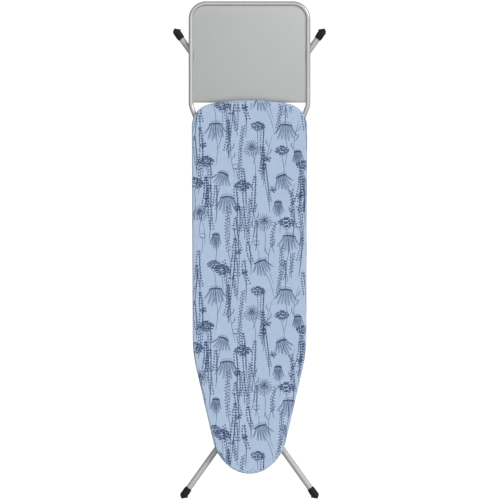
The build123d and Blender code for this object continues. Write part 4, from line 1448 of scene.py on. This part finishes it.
# ======================================== hard pieces ====================================
@dataclass
class SteelMesh:
    """Expanded steel mesh under the pad, in a plain band welded round its edge."""

    finishes: Finishes
    outline: BoardOutline
    long_way: float = 0.024
    short_way: float = 0.011
    strand: float = 0.0016
    inset: float = 0.0065
    band: float = 0.012
    middle_z: float = 0.0606
    band_base_z: float = 0.0605
    band_top_z: float = 0.0612
    centre_y: float = -0.1226
    span: int = 84

    def build(self) -> bpy.types.Object:
        """Build the mesh and its band.

        Returns:
            Both, as one piece.
        """
        points, normals = self.outline.loop()
        places: dict[tuple[int, int], int] = {}
        corners: list[tuple[float, float, float]] = []
        faces = []

        def corner(row: int, column: int) -> int:
            """Number of the lattice point at this row and column."""
            key = (row, column)
            if key not in places:
                x = (row - column) * self.short_way / 2
                y = self.centre_y + (row + column) * self.long_way / 2
                places[key] = len(corners)
                corners.append((x, y, self.middle_z))
            return places[key]

        half_width = np.array(self.outline.half_profile())
        order = np.argsort(half_width[:, 1])
        reach_y, reach_x = half_width[order, 1], half_width[order, 0]

        def inside(x: float, y: float) -> bool:
            """Whether a place lies inside the welded band."""
            keep = self.inset + self.band * 0.5
            if y > self.outline.rear_y - keep - 0.004 or y < self.outline.rear_y - self.outline.length + keep:
                return False
            return abs(x) < float(np.interp(y, reach_y, reach_x)) - keep * 1.12

        for row in range(-self.span, self.span):
            for column in range(-self.span, self.span):
                ring = [(row, column), (row + 1, column), (row + 1, column + 1), (row, column + 1)]
                spots = [
                    ((r - c) * self.short_way / 2, self.centre_y + (r + c) * self.long_way / 2)
                    for r, c in ring
                ]
                if all(inside(x, y) for x, y in spots):
                    faces.append([corner(r, c) for r, c in ring])
        lattice = mesh_piece("SteelMesh", np.array(corners), faces)
        apply_modifier(
            lattice, "WIREFRAME", thickness=self.strand, use_even_offset=False,
            use_boundary=True, use_replace=True,
        )
        clear_selection()
        count = self.outline.count
        band_points, band_faces = [], []
        low, top = self.band_base_z, self.band_top_z
        for step, height in ((0.0, low), (0.0, top), (self.band, top), (self.band, low)):
            for number in range(count):
                place = points[number] - normals[number] * (self.inset + step)
                band_points.append((place[0], place[1], height))
        for ring in range(4):
            following = (ring + 1) % 4
            for number in range(count):
                after = (number + 1) % count
                band_faces.append((ring * count + number, ring * count + after,
                                   following * count + after, following * count + number))
        band = mesh_piece("MeshBand", np.array(band_points), band_faces)
        face_outwards(band)
        take(lattice, band)
        bpy.ops.object.join()
        complete(lattice, "SteelMesh", self.finishes.frame, 35)
        log.info("SteelMesh: %d openings, %d faces", len(faces), len(lattice.data.polygons))
        return lattice


@dataclass
class MouldedCopy:
    """A CAD piece remade with rounded edges."""

    node: str
    name: str
    round: float
    segments: int = 3
    angle: float = 28.0

    def build(self, material: bpy.types.Material) -> bpy.types.Object:
        """Build the piece.

        Args:
            material: Its finish.

        Returns:
            The rounded piece.
        """
        made = copy_of_node(self.node, self.name)
        apply_modifier(
            made, "BEVEL", width=self.round, segments=self.segments, limit_method="ANGLE",
            angle_limit=math.radians(self.angle), harden_normals=False, use_clamp_overlap=True,
        )
        return complete(made, self.name, material, 42)


@dataclass
class CoilSpring:
    """Torsion spring round the latch shaft, with its two straight tails."""

    finishes: Finishes
    centre: tuple[float, float] = (-0.500, 0.048)
    start_x: float = -0.1005
    end_x: float = -0.0855
    radius: float = 0.0056
    wire: float = 0.0013
    turns: int = 9

    def build(self) -> bpy.types.Object:
        """Build the spring.

        Returns:
            The wire as one closed piece.
        """
        steps = self.turns * 20
        path = []
        for step in range(steps + 1):
            angle = TAU * self.turns * step / steps
            x = self.start_x + self.wire / 2 + (self.end_x - self.start_x - self.wire) * step / steps
            y = self.centre[0] + self.radius * math.cos(angle)
            path.append((x, y, self.centre[1] + self.radius * math.sin(angle)))
        path.insert(0, (path[0][0], path[0][1], path[0][2] - 0.004))
        path.append((path[-1][0], path[-1][1], path[-1][2] + 0.004))
        line = bpy.data.curves.new("LatchSpringCoil", "CURVE")
        line.dimensions = "3D"
        line.bevel_depth = self.wire / 2
        line.bevel_resolution = 1
        line.use_fill_caps = True
        spline = line.splines.new("POLY")
        spline.points.add(len(path) - 1)
        for point, place in zip(spline.points, path):
            point.co = (*place, 1.0)
        made = bpy.data.objects.new("LatchSpringCoil", line)
        bpy.context.collection.objects.link(made)
        take(made)
        bpy.ops.object.convert(target="MESH")
        made = bpy.context.view_layer.objects.active
        return complete(made, "LatchSpringCoil", self.finishes.zinc, 50)


@dataclass
class WeldBeads:
    """Rippled weld beads where a spacer bar meets the leg tubes."""

    name: str
    spots: tuple[tuple[float, float, float], ...]
    ring: float = 0.0063
    bead: float = 0.0013

    def build(self, material: bpy.types.Material) -> bpy.types.Object:
        """Build every bead.

        Args:
            material: Its finish.

        Returns:
            The beads as one piece.
        """
        rings = []
        for place in self.spots:
            clear_selection()
            bpy.ops.mesh.primitive_torus_add(
                location=place, rotation=(0, math.pi / 2, 0), major_radius=self.ring, minor_radius=self.bead,
                major_segments=60, minor_segments=10,
            )
            ring = bpy.context.view_layer.objects.active
            for vertex in ring.data.vertices:
                angle = math.atan2(vertex.co.y, vertex.co.x)
                swell = 1 + 0.025 * math.sin(angle * 17) + 0.015 * math.sin(angle * 5 + place[0] * 300)
                vertex.co *= swell
            rings.append(ring)
        take(*rings)
        bpy.ops.object.join()
        made = bpy.context.view_layer.objects.active
        return complete(made, self.name, material, 60)


# ========================================= studio ========================================
@dataclass
class Studio:
    """Pale floor, soft lights and a long lens straight above the folded board."""

    floor_z: float = -0.876
    frame_width: float = 1.6595
    centre_x: float = 0.0017
    lens: float = 600.0
    sensor: float = 36.0
    cover_z: float = 0.07
    sky: float = 0.30
    overhead: float = 0.42
    key: float = 0.62
    key_height: float = math.radians(42.0)
    key_turn: float = math.radians(28.0)

    def build(self) -> None:
        """Build the camera, the floor, the world light and the lamps."""
        distance = self.frame_width / 2 / (self.sensor / 2 / self.lens)
        lens = bpy.data.cameras.new("Camera")
        lens.lens = self.lens
        lens.sensor_width = self.sensor
        lens.clip_end = 300.0
        camera = bpy.data.objects.new("Camera", lens)
        camera.location = (self.centre_x, 0.0, self.cover_z + distance)
        bpy.context.scene.collection.objects.link(camera)
        bpy.context.scene.camera = camera
        self.floor()

        world = bpy.data.worlds.new("SoftRoom")
        world.use_nodes = True
        world.node_tree.nodes.clear()
        nodes = Nodes(world.node_tree)
        light = nodes.add("Background", inputs={0: (1, 1, 1, 1), 1: self.sky})
        sweep = nodes.add("Background", inputs={0: (1, 1, 1, 1), 1: 1.0})
        ray = nodes.add("LightPath").outputs["Is Camera Ray"]
        seen = nodes.add("MixShader", inputs={0: ray, 1: light.outputs[0], 2: sweep.outputs[0]})
        nodes.add("OutputWorld", inputs={0: seen.outputs[0]})
        bpy.context.scene.world = world
        flat = math.cos(self.key_height)
        towards = (flat * math.cos(self.key_turn), flat * math.sin(self.key_turn), math.sin(self.key_height))
        self.lamp("OverheadLight", (0.0, 0.0, 1.0), 70.0, self.overhead * math.pi)
        self.lamp("KeyLight", towards, 26.0, self.key * math.pi)
        view = bpy.context.scene.view_settings
        view.view_transform = "Standard"
        view.look = "None"
        view.exposure = 0.0

    def floor(self) -> None:
        """Lay a wide floor that glows a little, as a lit studio sweep does."""
        clear_selection()
        bpy.ops.mesh.primitive_plane_add(size=240.0, location=(0, 0, self.floor_z))
        floor = bpy.context.view_layer.objects.active
        floor.name = "StudioFloor"
        pale = bpy.data.materials.new("StudioPale")
        pale.use_nodes = True
        pale.node_tree.nodes.clear()
        nodes = Nodes(pale.node_tree)
        seen = nodes.add("BsdfDiffuse", inputs={0: (0.42, 0.42, 0.42, 1)})
        glow = nodes.add("Emission", inputs={0: (1, 1, 1, 1), 1: 0.68})
        both = nodes.add("AddShader", inputs={0: seen.outputs[0], 1: glow.outputs[0]})
        bounced = nodes.add("BsdfDiffuse", inputs={0: (0.40, 0.40, 0.40, 1)})
        ray = nodes.add("LightPath").outputs["Is Camera Ray"]
        mixed = nodes.add("MixShader", inputs={0: ray, 1: bounced.outputs[0], 2: both.outputs[0]})
        nodes.add("OutputMaterial", inputs={0: mixed.outputs[0]})
        dress(floor, pale)

    @staticmethod
    def lamp(name: str, towards: tuple[float, float, float], softness: float, strength: float) -> None:
        """Add a broad distant light.

        Args:
            name: Name of the light.
            towards: Direction from the board to the light.
            softness: Width of the light in degrees.
            strength: Its strength.
        """
        light = bpy.data.lights.new(name, "SUN")
        light.angle = math.radians(softness)
        light.energy = strength
        lamp = bpy.data.objects.new(name, light)
        lamp.location = Vector(towards) * 5
        lamp.rotation_euler = Vector(towards).to_track_quat("Z", "Y").to_euler()
        bpy.context.scene.collection.objects.link(lamp)


# ======================================== assembly =======================================
STEEL_SLOTS: dict[str, tuple[str, ...]] = {
    "frame": ("rim_tube", "crossbar_nose", "crossbar_front", "crossbar_middle", "crossbar_rear"),
    "tray_tube": ("tray_tube",),
    "legs": (
        "front_leg_left", "front_leg_right", "rear_leg_left", "rear_leg_right", "front_leg_lugs",
        "rear_leg_lugs",
        "front_hinge_sleeve", "front_leg_spacer", "front_leg_catch_bar", "rear_leg_spacer",
    ),
    "zinc": ("hinge_axle", "pivot_bolts", "pivot_nuts", "hook_pin"),
    "pressed_zinc": (
        "guide_rail_left", "guide_rail_right", "latch_rack", "latch_lever", "sliding_crossbar", "hook_ears",
        "hinge_bracket_left", "hinge_bracket_right",
    ),
    "black": ("front_leg_plugs", "rear_leg_plugs"),
    "nylon": ("glide_bushes", "pivot_spacers"),
    "cord": ("hem_drawcord",),
}


@dataclass
class IroningBoard:
    """The whole board: soft top, print, steel frame, tray, legs, latch and hook."""

    frame: dict[str, object]
    finishes: Finishes

    def build(self) -> None:
        """Build, dress and place every piece."""
        for finish, names in STEEL_SLOTS.items():
            for name in names:
                dress(self.frame["nodes"][name], getattr(self.finishes, finish))
        self._soft_top()
        self._steel()
        self._plastics()

    @staticmethod
    def _place(piece: bpy.types.Object, body: Body, slot: str, *nodes: str) -> bpy.types.Object:
        """Give a piece its body and hide the CAD nodes that it stands for."""
        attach(piece, body.value)
        if nodes:
            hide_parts(*nodes)
        log.info("%s rides on %s", piece.name, body.value)
        return piece

    def _soft_top(self) -> None:
        """Build the pad, the cover and its print."""
        pad = self._place(Pad(self.finishes).build(), Body.BOARD, "felt", "felt_pad")
        cover = Cover(self.finishes)
        cloth = self._place(cover.build(), Body.BOARD, "printed_cotton", "cotton_cover")
        pieces = [cover.stitches()] + Print(self.finishes, cover.shape).build()
        for piece in pieces:
            self._place(piece, Body.BOARD, "printed_cotton")

    def _steel(self) -> None:
        """Build the steel mesh, the tray sheet, the spring and the weld beads."""
        self._place(SteelMesh(self.finishes, BoardOutline()).build(), Body.BOARD, "frame_enamel", "mesh_top")
        sheet = MouldedCopy("tray_sheet", "TraySheet", 0.0006, 3, 30.0).build(self.finishes.tray_sheet)
        self._place(sheet, Body.BOARD, "tray_enamel", "tray_sheet")
        self._place(CoilSpring(self.finishes).build(), Body.BOARD, "zinc_steel", "latch_spring")
        places = tuple((x, y, 0.0125) for x in (-0.0362, 0.0362) for y in (-0.545, 0.120))
        front = WeldBeads("FrontWelds", places)
        self._place(front.build(self.finishes.legs), Body.FRONT_LEGS, "leg_enamel")
        rear = WeldBeads("RearWelds", tuple((x, 0.455, 0.0125) for x in (-0.0622, 0.0622)))
        self._place(rear.build(self.finishes.legs), Body.REAR_LEGS, "leg_enamel")

    def _plastics(self) -> None:
        """Build the foot caps, the lever's grip and the storage hook."""
        for body, end in ((Body.FRONT_LEGS, "front"), (Body.REAR_LEGS, "rear")):
            for side in ("left", "right"):
                node = f"{end}_foot_{side}"
                cap = MouldedCopy(node, f"FootCap_{end}_{side}", 0.0014, 4, 28.0).build(self.finishes.foot)
                self._place(cap, body, "foot_plastic", node)
        grip = MouldedCopy("lever_grip", "LeverGrip", 0.0008, 2, 35.0).build(self.finishes.black)
        self._place(grip, Body.LATCH, "black_plastic", "lever_grip")
        hook = MouldedCopy("storage_hook", "StorageHook", 0.0006, 3, 30.0).build(self.finishes.black)
        self._place(hook, Body.HOOK, "black_plastic", "storage_hook")


def main() -> None:
    """Load the frame, and build the studio and the board."""
    logging.basicConfig(level=logging.INFO, format="%(message)s")
    random.seed(SEED)
    np.random.seed(SEED)
    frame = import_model()
    Studio().build()
    IroningBoard(frame, Finishes()).build()


if __name__ == "__main__":
    main()
